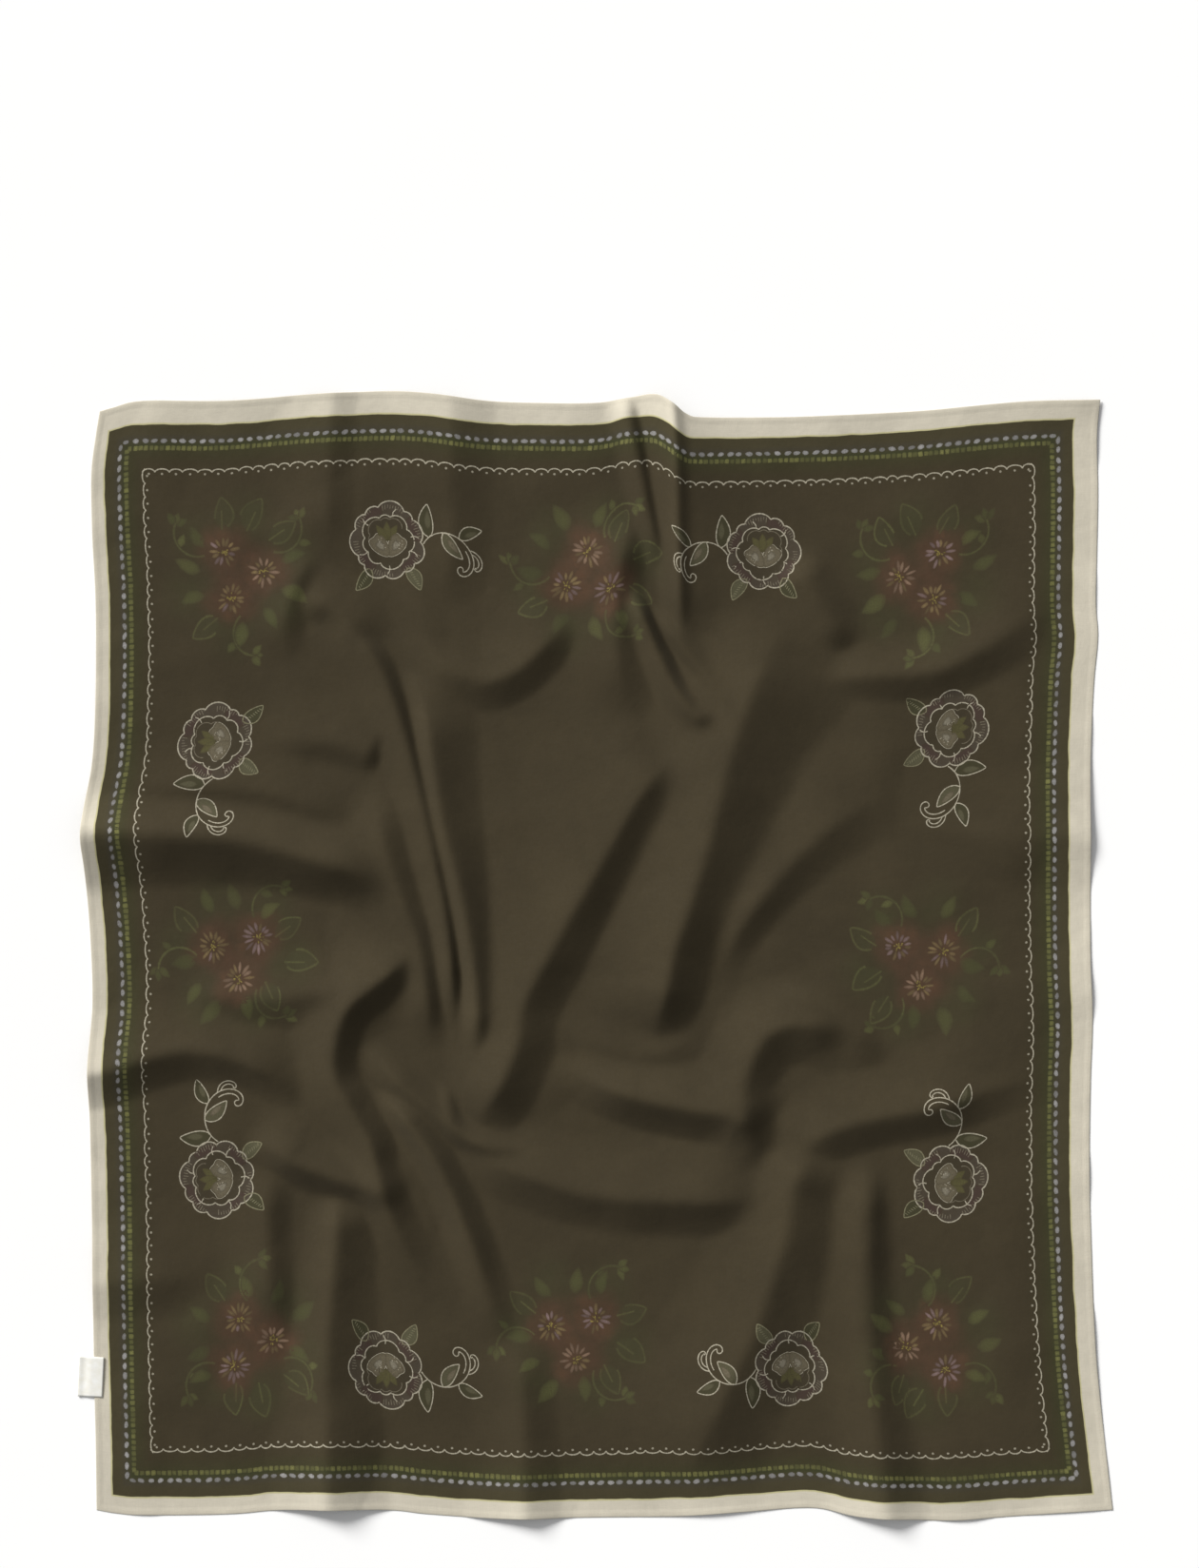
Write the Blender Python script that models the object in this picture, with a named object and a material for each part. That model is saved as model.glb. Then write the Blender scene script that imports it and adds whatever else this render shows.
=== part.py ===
"""Lightweight printed scarf, lying loosely spread on a flat surface, with its sewn-on label.

Metres, +Z up. The origin is under the middle of the scarf, on the surface that it lies on;
+Y runs along its long side, away from the wearer's view. The cloth touches the surface wherever
no fold lifts it. Tables are in millimetres and are scaled by MM where they are used.
"""
from collections import namedtuple

import bmesh
import bpy
import numpy as np

MM = 0.001

# Driving dimensions
CLOTH_THICKNESS = 1.2 * MM      # the thin sheet as a solid
LABEL_THICKNESS = 1.0 * MM      # folded woven tape
CLEARANCE = 0.3 * MM            # left between the label and the cloth under it
LABEL_WIDTH = 23.4 * MM         # across the hem, from the sewn edge to the free edge
LABEL_HEIGHT = 37.8 * MM        # along the hem
LABEL_FREE_EDGE = -489 * MM     # x of the edge that reaches out past the cloth
LABEL_MIDDLE = -398 * MM        # y of its middle

# Fineness of the model
GRID_COLUMNS = 150
GRID_ROWS = 160
KEPT_SHARE = 0.100              # share of the grid's faces left, most of them along the folds
SETTLED = 0.15 * MM             # cloth lower than this lies flat on the surface
ROUTE_STEPS = 10                # steps between two points of a fold's route
BLEND_POWER = 2.5               # how folds that meet share their height: 1 adds, more takes the higher
CREST_ROUNDING = 5              # millimetres over which a fold's crest turns
STEEP_BOW = 1.3                 # a side is steepest by its crest and runs out softly: 1 is an
BROAD_BOW = 1.7                 # even slope, and more is softer

# Outline of the scarf as it lies, side by side from corner to corner (millimetres)
EdgePoint = namedtuple("EdgePoint", "x y")
LEFT_EDGE = [EdgePoint(*row) for row in (
    (-472, -524), (-473, -455), (-475, -360), (-476, -266), (-478, -171), (-480, -108),
    (-476, -45), (-478, 18), (-483, 81), (-486, 112), (-483, 144), (-476, 185),
    (-473, 245), (-473, 333), (-476, 396), (-477, 454), (-473, 490), (-469, 515))]
RIGHT_EDGE = [EdgePoint(*row) for row in (
    (489, -524), (481, -455), (473, -375), (469, -280), (467, -203), (468, -120),
    (470, -60), (468, 0), (468, 100), (468, 180), (471, 255), (475, 301),
    (473, 335), (474, 380), (475, 440), (474, 490), (477, 526))]
BOTTOM_EDGE = [EdgePoint(*row) for row in (
    (-472, -524), (-455, -527), (-428, -529), (-347, -528), (-293, -524), (-200, -524),
    (-158, -528), (-90, -532), (0, -531), (80, -530), (140, -526), (205, -522),
    (247, -530), (300, -533), (340, -534), (395, -530), (489, -524))]
TOP_EDGE = [EdgePoint(*row) for row in (
    (-469, 515), (-455, 519), (-428, 525), (-347, 525), (-270, 531), (-200, 534),
    (-158, 532), (-104, 525), (-50, 523), (0, 523), (32, 528), (56, 531), (72, 523),
    (86, 512), (105, 509), (193, 510), (301, 515), (400, 524), (477, 526))]

# Folds. Each has a crest along a route, a steep side on the left of the way it runs and a broad
# side on the right, whose widths change evenly from its start to its end. It swells from nothing
# over the share "rise" of its length and dies away over the share "fade"; a fold with no rise or
# no fade runs on past the edge of the cloth there. Millimetres.
Fold = namedtuple("Fold", "name height broad steep rise fade route")
FOLDS = (
    Fold("long_left", 13, (22, 18), (54, 18), 0.22, 0.12,
         [(-178, 283), (-161, 234), (-153, 180), (-144, 126), (-131, 72), (-120, 18), (-113, -36),
          (-111, -102)]),
    Fold("long_left_b", 9, (46, 16), (18, 10), 0.15, 0.15,
         [(-261, 332), (-229, 303), (-205, 272), (-185, 218), (-168, 157), (-153, 90), (-140, 18),
          (-133, -77)]),
    Fold("long_left_c", 8, (66, 34), (28, 16), 0.28, 0.20,
         [(-211, 171), (-202, 112), (-184, 54), (-166, 0), (-155, -93)]),
    Fold("centre", 14, (160, 46), (40, 38), 0.14, 0.14,
         [(81, 197), (41, 152), (2, 85), (-41, 9), (-68, -43), (-76, -86), (-92, -124),
          (-119, -169)]),
    Fold("right_centre", 18, (100, 80), (100, 30), 0.22, 0.14,
         [(191, 335), (164, 283), (140, 228), (122, 171), (108, 113), (91, 56), (75, 10), (64, -41),
          (50, -90)]),
    Fold("thin_right", 8, (84, 46), (44, 20), 0.35, 0.30,
         [(301, 153), (251, 141), (202, 105), (162, 63), (131, 18), (112, -36)]),
    Fold("top_pleat", 12, (46, 16), (16, 17), 0.00, 0.25,
         [(65, 571), (73, 508), (76, 454), (78, 364), (81, 283)]),
    Fold("top_pleat_soft", 10, (12, 12), (66, 80), 0.00, 0.25,
         [(67, 571), (75, 508), (77, 454), (79, 364), (85, 274)]),
    Fold("top_pleat_b", 7, (24, 18), (12, 12), 0.10, 0.25,
         [(26, 531), (39, 468), (50, 414), (65, 360)]),
    Fold("pleat_foot", 9, (66, 50), (22, 40), 0.20, 0.35,
         [(36, 418), (23, 373), (18, 319), (23, 265), (45, 216)]),
    Fold("pocket", 12, (22, 26), (10, 20), 0.25, 0.16,
         [(27, 359), (40, 328), (61, 279), (79, 245), (99, 225), (124, 229)]),
    Fold("pocket_b", 8, (14, 16), (26, 22), 0.30, 0.25,
         [(52, 335), (86, 288), (119, 243), (128, 207)]),
    Fold("right_swag", 8, (66, 30), (38, 22), 0.45, 0.20,
         [(458, 328), (407, 317), (365, 290), (323, 270), (274, 265), (202, 263)]),
    Fold("right_short", 8, (40, 30), (30, 30), 0.25, 0.30,
         [(185, 378), (207, 341), (239, 283)]),
    Fold("top_left_a", 5, (66, 60), (26, 26), 0.00, 0.30,
         [(-248, 571), (-253, 454), (-255, 364)]),
    Fold("top_left_a_low", 6, (50, 40), (22, 22), 0.35, 0.40,
         [(-263, 389), (-284, 351), (-294, 315), (-290, 274)]),
    Fold("top_left_b", 6, (84, 40), (46, 36), 0.00, 0.30,
         [(-137, 571), (-137, 454), (-135, 391), (-144, 319)]),
    Fold("swag_left", 9, (66, 36), (26, 34), 0.22, 0.40,
         [(-18, 328), (-49, 294), (-77, 269), (-110, 260), (-149, 283), (-176, 328)]),
    Fold("swag_outer", 4, (46, 30), (34, 34), 0.25, 0.35,
         [(-59, 296), (-103, 283), (-144, 306), (-171, 339), (-191, 382)]),
    Fold("left_crown", 7, (50, 40), (28, 18), 0.35, 0.35,
         [(-211, 283), (-248, 328), (-293, 335)]),
    Fold("left_light", 6, (54, 54), (20, 26), 0.15, 0.70,
         [(-200, 184), (-248, 202), (-328, 206)]),
    Fold("left_wide", 20, (50, 50), (30, 62), 0.28, 0.00,
         [(-180, 33), (-221, 76), (-275, 94), (-338, 110), (-428, 116), (-523, 117)]),
    Fold("left_wide_b", 6, (50, 50), (26, 22), 0.20, 0.50,
         [(-218, 125), (-266, 141), (-329, 157), (-428, 159), (-509, 159)]),
    Fold("left_dip", 7, (46, 50), (34, 34), 0.20, 0.40,
         [(-225, -28), (-266, -36), (-320, -41), (-392, -32)]),
    Fold("left_mid", 12, (46, 66), (22, 40), 0.25, 0.00,
         [(-274, -144), (-302, -117), (-338, -97), (-383, -89), (-419, -95), (-464, -108),
          (-527, -118)]),
    Fold("left_low", 13, (44, 50), (28, 22), 0.20, 0.30,
         [(-176, -235), (-214, -219), (-248, -208), (-280, -196), (-308, -180), (-331, -167)]),
    Fold("left_patch", 6, (80, 80), (30, 44), 0.35, 0.00,
         [(-356, -306), (-428, -306), (-527, -311)]),
    Fold("hook", 13, (64, 20), (26, 24), 0.12, 0.35,
         [(-164, 15), (-199, -19), (-234, -48), (-247, -81), (-247, -115), (-232, -144), (-214, -176),
          (-204, -212), (-191, -252), (-169, -297), (-157, -333)]),
    Fold("hook_right", 9, (22, 24), (20, 20), 0.30, 0.30,
         [(-59, -201), (-118, -173), (-157, -144), (-190, -115), (-223, -77)]),
    Fold("jay", 7, (22, 16), (14, 10), 0.30, 0.40,
         [(-144, -113), (-140, -144), (-128, -167), (-95, -181), (-47, -187)]),
    Fold("ray_b", 12, (18, 30), (24, 24), 0.18, 0.40,
         [(-207, -122), (-175, -160), (-149, -198), (-130, -241), (-112, -288), (-94, -342),
          (-85, -374)]),
    Fold("mid_ripple", 4, (50, 50), (28, 28), 0.40, 0.40,
         [(121, -57), (58, -93), (-5, -79), (-43, -50)]),
    Fold("low_wide", 13, (84, 38), (38, 32), 0.25, 0.30,
         [(182, -221), (121, -230), (58, -230), (-5, -225), (-59, -209), (-113, -187), (-142, -163)]),
    Fold("low_mid", 16, (60, 40), (38, 26), 0.15, 0.40,
         [(162, -172), (128, -151), (89, -144), (42, -134), (2, -120), (-41, -93)]),
    Fold("low_wall", 12, (46, 62), (44, 26), 0.20, 0.25,
         [(251, -77), (203, -65), (167, -71), (148, -97), (140, -131), (145, -180), (157, -221)]),
    Fold("right_arc", 6, (54, 36), (18, 18), 0.30, 0.30,
         [(157, -32), (202, -45), (242, -70), (275, -111)]),
    Fold("right_low", 10, (80, 46), (28, 32), 0.45, 0.20,
         [(440, -106), (373, -126), (314, -144), (251, -156), (209, -174), (185, -208)]),
    Fold("foot_a", 14, (60, 110), (44, 70), 0.12, 0.25,
         [(207, -172), (187, -221), (179, -266), (166, -309), (148, -360), (122, -414), (98, -468),
          (77, -518)]),
    Fold("foot_b", 11, (40, 60), (18, 44), 0.15, 0.00,
         [(256, -187), (256, -232), (255, -293), (257, -356), (263, -419), (270, -482), (277, -572)]),
    Fold("right_edge", 5, (90, 60), (56, 34), 0.00, 0.40,
         [(517, 112), (391, 112), (283, 125)]),
    Fold("low_left_a", 12, (30, 60), (34, 66), 0.12, 0.00,
         [(-245, -217), (-244, -257), (-248, -311), (-252, -374), (-253, -446), (-253, -572)]),
    Fold("low_left_b", 7, (50, 50), (24, 24), 0.25, 0.35,
         [(-309, -194), (-310, -257), (-308, -311), (-302, -369)]),
    Fold("low_centre", 8, (50, 56), (30, 38), 0.25, 0.00,
         [(-77, -351), (-70, -401), (-67, -464), (-67, -572)]),
)

CLOTH_COLOUR = (0.058, 0.046, 0.025, 1.0)
LABEL_COLOUR = (0.80, 0.79, 0.75, 1.0)


def ease(share):
    """Smooth step from 0 to 1."""
    share = np.clip(share, 0, 1)
    return share * share * (3 - 2 * share)


def smooth_route(points, steps=ROUTE_STEPS):
    """A smooth curve through the points, as rows of x and y."""
    knots = np.array(points, float)
    knots = np.vstack([2 * knots[0] - knots[1], knots, 2 * knots[-1] - knots[-2]])
    share = np.linspace(0, 1, steps, endpoint=False)[:, None]
    stretches = []
    for before, start, end, after in zip(knots, knots[1:], knots[2:], knots[3:]):
        stretches.append(0.5 * (2 * start + (end - before) * share
                                + (2 * before - 5 * start + 4 * end - after) * share ** 2
                                + (3 * start - 3 * end + after - before) * share ** 3))
    return np.vstack(stretches + [knots[-2:-1]])


def run_length(route):
    """Distance run along a route up to each of its points."""
    steps = np.hypot(*np.diff(route, axis=0).T)
    return np.concatenate([[0], np.cumsum(steps)])


def nearest_on_route(x, y, route):
    """Distance to the route, which side of it (+ is its left), and the share of it run there."""
    run = run_length(route)
    nearest = np.full(x.shape, np.inf)
    side = np.zeros(x.shape)
    along = np.zeros(x.shape)
    for start, end, run_start, run_end in zip(route, route[1:], run, run[1:]):
        (dx, dy), length = end - start, run_end - run_start
        share = np.clip(((x - start[0]) * dx + (y - start[1]) * dy) / length ** 2, 0, 1)
        off_x = x - start[0] - share * dx
        off_y = y - start[1] - share * dy
        distance = np.hypot(off_x, off_y)
        closer = distance < nearest
        nearest = np.where(closer, distance, nearest)
        side = np.where(closer, dx * off_y - dy * off_x, side)
        along = np.where(closer, (run_start + share * length) / run[-1], along)
    return nearest, side, along


def fall(distance, width, bow):
    """Share of a fold's height left at a distance from its crest, on a side of this width."""
    off = np.hypot(distance, CREST_ROUNDING) - CREST_ROUNDING
    reach = np.hypot(width, CREST_ROUNDING) - CREST_ROUNDING
    return np.clip(1 - off / reach, 0, 1) ** bow


def fold_height(fold, x, y):
    """Height that one fold lifts the cloth at the places x, y (millimetres)."""
    distance, side, along = nearest_on_route(x, y, smooth_route(fold.route))
    steep = fold.steep[0] + along * (fold.steep[1] - fold.steep[0])
    broad = fold.broad[0] + along * (fold.broad[1] - fold.broad[0])
    height = np.where(side > 0, fall(distance, steep, STEEP_BOW), fall(distance, broad, BROAD_BOW))
    if fold.rise:
        height = height * ease(along / fold.rise)
    if fold.fade:
        height = height * ease((1 - along) / fold.fade)
    return fold.height * height


def relief(x, y):
    """Height of the cloth's underside at the places x, y (millimetres)."""
    heights = sum(fold_height(fold, x, y) ** BLEND_POWER for fold in FOLDS)
    return heights ** (1 / BLEND_POWER)


def edge_at(edge, shares):
    """Places on an edge at even shares of its length."""
    line = smooth_route(edge)
    run = run_length(line)
    return np.stack([np.interp(shares * run[-1], run, line[:, axis]) for axis in (0, 1)], axis=-1)


def sheet_plan(columns, rows):
    """Plan of the sheet as rows of points, spanned between its four edges (millimetres)."""
    across = np.linspace(0, 1, columns + 1)
    up = np.linspace(0, 1, rows + 1)
    bottom, top = edge_at(BOTTOM_EDGE, across), edge_at(TOP_EDGE, across)
    left, right = edge_at(LEFT_EDGE, up), edge_at(RIGHT_EDGE, up)
    s, t = across[None, :, None], up[:, None, None]
    corners = ((1 - s) * (1 - t) * bottom[0] + s * (1 - t) * bottom[-1]
               + (1 - s) * t * top[0] + s * t * top[-1])
    return ((1 - t) * bottom + t * top + (1 - s) * left[:, None] + s * right[:, None]) - corners


def fabric(name, colour, roughness):
    """A plain fabric material."""
    material = bpy.data.materials.new(name)
    material.use_nodes = True
    shader = material.node_tree.nodes["Principled BSDF"]
    shader.inputs["Base Color"].default_value = colour
    shader.inputs["Roughness"].default_value = roughness
    shader.inputs["Metallic"].default_value = 0.0
    return material


def sheet_object(name, points, material):
    """A sheet without thickness through rows of points, facing up."""
    rows, columns = points.shape[:2]
    grid = bmesh.new()
    bmesh.ops.create_grid(grid, x_segments=columns - 1, y_segments=rows - 1, size=1)
    for vert, place in zip(grid.verts, points.reshape(-1, 3)):
        vert.co = place
    mesh = bpy.data.meshes.new(name)
    grid.to_mesh(mesh)
    grid.free()
    mesh.materials.append(material)
    mesh.shade_smooth()
    sheet = bpy.data.objects.new(name, mesh)
    bpy.context.scene.collection.objects.link(sheet)
    return sheet


def thin_out(sheet, kept_share):
    """Take faces out where the sheet is flat or nearly so, and keep them along the folds."""
    decimate = sheet.modifiers.new("fewer_faces", "DECIMATE")
    decimate.ratio = kept_share
    full = sheet.data
    view = bpy.context.evaluated_depsgraph_get()
    sheet.data = bpy.data.meshes.new_from_object(sheet.evaluated_get(view))
    sheet.modifiers.remove(decimate)
    bpy.data.meshes.remove(full)


def settle(sheet):
    """Lay every part of the sheet that is all but down flat on the surface."""
    for vert in sheet.data.vertices:
        if vert.co.z < SETTLED:
            vert.co.z = 0


def thicken(sheet, thickness):
    """Give the sheet its thickness above its underside."""
    solidify = sheet.modifiers.new("thickness", "SOLIDIFY")
    solidify.thickness = thickness
    solidify.offset = 1.0


def make_cloth():
    """The printed cloth with its hem: one sheet, fine along its folds and coarse where it is flat."""
    plan = sheet_plan(GRID_COLUMNS, GRID_ROWS)
    height = relief(plan[..., 0], plan[..., 1])
    cloth = sheet_object("cloth", np.dstack([plan, height]) * MM,
                         fabric("printed_cotton", CLOTH_COLOUR, 0.85))
    thin_out(cloth, KEPT_SHARE)
    settle(cloth)
    thicken(cloth, CLOTH_THICKNESS)


def make_label():
    """The label: sewn flat on the hem, its free part bent down to the surface past the edge."""
    sewn_edge = LABEL_FREE_EDGE + LABEL_WIDTH
    on_cloth = CLOTH_THICKNESS + CLEARANCE
    # across the hem: place as a share of the width from the free edge, height of the underside
    profile = ((0.00, 0.0), (0.20, 0.15), (0.40, 0.75), (0.55, 1.0), (0.75, 1.0), (1.00, 1.0))
    points = np.array([[(LABEL_FREE_EDGE + share * LABEL_WIDTH,
                         LABEL_MIDDLE + side * LABEL_HEIGHT / 2,
                         lift * on_cloth) for share, lift in profile] for side in (-1, 0, 1)])
    label = sheet_object("label", points, fabric("woven_tape", LABEL_COLOUR, 0.75))
    thicken(label, LABEL_THICKNESS)


for old in list(bpy.data.objects):
    bpy.data.objects.remove(old, do_unlink=True)
make_cloth()
make_label()
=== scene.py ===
"""The looks of a lightweight printed scarf that lies loosely spread, with its small sewn label.

Tables and places are in millimetres. The lying shape is in the frame of the CAD model, whose
origin is under the middle of the scarf. The print is laid out on the flat cut, from its lower left
corner, and each mark is then carried to the place where that bit of cloth lies.
"""
from collections import namedtuple

import bpy
import numpy as np
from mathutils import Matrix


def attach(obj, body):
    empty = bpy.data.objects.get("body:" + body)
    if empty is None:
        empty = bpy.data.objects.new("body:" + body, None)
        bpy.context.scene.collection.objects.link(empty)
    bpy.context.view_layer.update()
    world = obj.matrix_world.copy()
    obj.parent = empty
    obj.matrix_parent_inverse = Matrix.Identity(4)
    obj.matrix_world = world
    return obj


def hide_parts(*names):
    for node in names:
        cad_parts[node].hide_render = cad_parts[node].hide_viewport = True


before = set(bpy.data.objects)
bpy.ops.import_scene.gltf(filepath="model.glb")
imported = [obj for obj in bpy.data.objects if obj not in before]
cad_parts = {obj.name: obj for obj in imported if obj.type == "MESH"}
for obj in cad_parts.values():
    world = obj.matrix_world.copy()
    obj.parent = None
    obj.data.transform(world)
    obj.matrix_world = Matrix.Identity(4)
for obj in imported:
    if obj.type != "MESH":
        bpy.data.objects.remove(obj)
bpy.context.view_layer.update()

MM = 0.001

# The flat cut
CUT_WIDTH = 990.0
CUT_LENGTH = 1050.0

# Cloth and hem
THICKNESS = 0.45
HEM_WIDTH = 4.6
HEM_THICKNESS = 0.75
HEM_ROUNDING = 0.6
HEM_STEP = 1.8                  # width over which the hem's inner edge steps down to the cloth
HEM_LINES = (0.0, 0.25, 0.7, 2.4, HEM_WIDTH, HEM_WIDTH + HEM_STEP)

# Fineness
ROUTE_STEPS = 10
BLEND_POWER = 2.5
CREST_ROUNDING = 5
STEEP_BOW = 1.3
BROAD_BOW = 1.7
MAP_HALF = (510.0, 550.0)       # half sizes of the height map
MAP_PITCH = 1.5
MAP_MARGIN = 12.0
PLAN_COLUMNS = 330
PLAN_ROWS = 356
SETTLE_STEPS = 7                # rounds that fit the flat cut's lengths to the lying cloth
COLUMNS = 204                   # grid lines across the cut, without those of the hems
ROWS = 210
BUSY_ACROSS = ((305, 130, 1.3), (560, 90, 1.1))         # middle, reach and gain of closer lines
BUSY_UP = ((800, 110, 1.0), (400, 160, 1.3))

# The slight waviness of thin cloth where it lies flat
WAVES = 26
WAVE_LENGTH = (45.0, 190.0)
WAVE_SLOPE = 0.0022             # each wave's height as a share of its length
WAVE_LEVEL = 0.15

# Outline of the scarf as it lies, side by side from corner to corner
EdgePoint = namedtuple("EdgePoint", "x y")
LEFT_EDGE = [EdgePoint(*row) for row in (
    (-472, -524), (-473, -455), (-475, -360), (-476, -266), (-478, -171), (-480, -108),
    (-476, -45), (-478, 18), (-483, 81), (-486, 112), (-483, 144), (-476, 185),
    (-473, 245), (-473, 333), (-476, 396), (-477, 454), (-473, 490), (-469, 515))]
RIGHT_EDGE = [EdgePoint(*row) for row in (
    (489, -524), (481, -455), (473, -375), (469, -280), (467, -203), (468, -120),
    (470, -60), (468, 0), (468, 100), (468, 180), (471, 255), (475, 301),
    (473, 335), (474, 380), (475, 440), (474, 490), (477, 526))]
BOTTOM_EDGE = [EdgePoint(*row) for row in (
    (-472, -524), (-455, -527), (-428, -529), (-347, -528), (-293, -524), (-200, -524),
    (-158, -528), (-90, -532), (0, -531), (80, -530), (140, -526), (205, -522),
    (247, -530), (300, -533), (340, -534), (395, -530), (489, -524))]
TOP_EDGE = [EdgePoint(*row) for row in (
    (-469, 515), (-455, 519), (-428, 525), (-347, 525), (-270, 531), (-200, 534),
    (-158, 532), (-104, 525), (-50, 523), (0, 523), (32, 528), (56, 531), (72, 523),
    (86, 512), (105, 509), (193, 510), (301, 515), (400, 524), (477, 526))]

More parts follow.
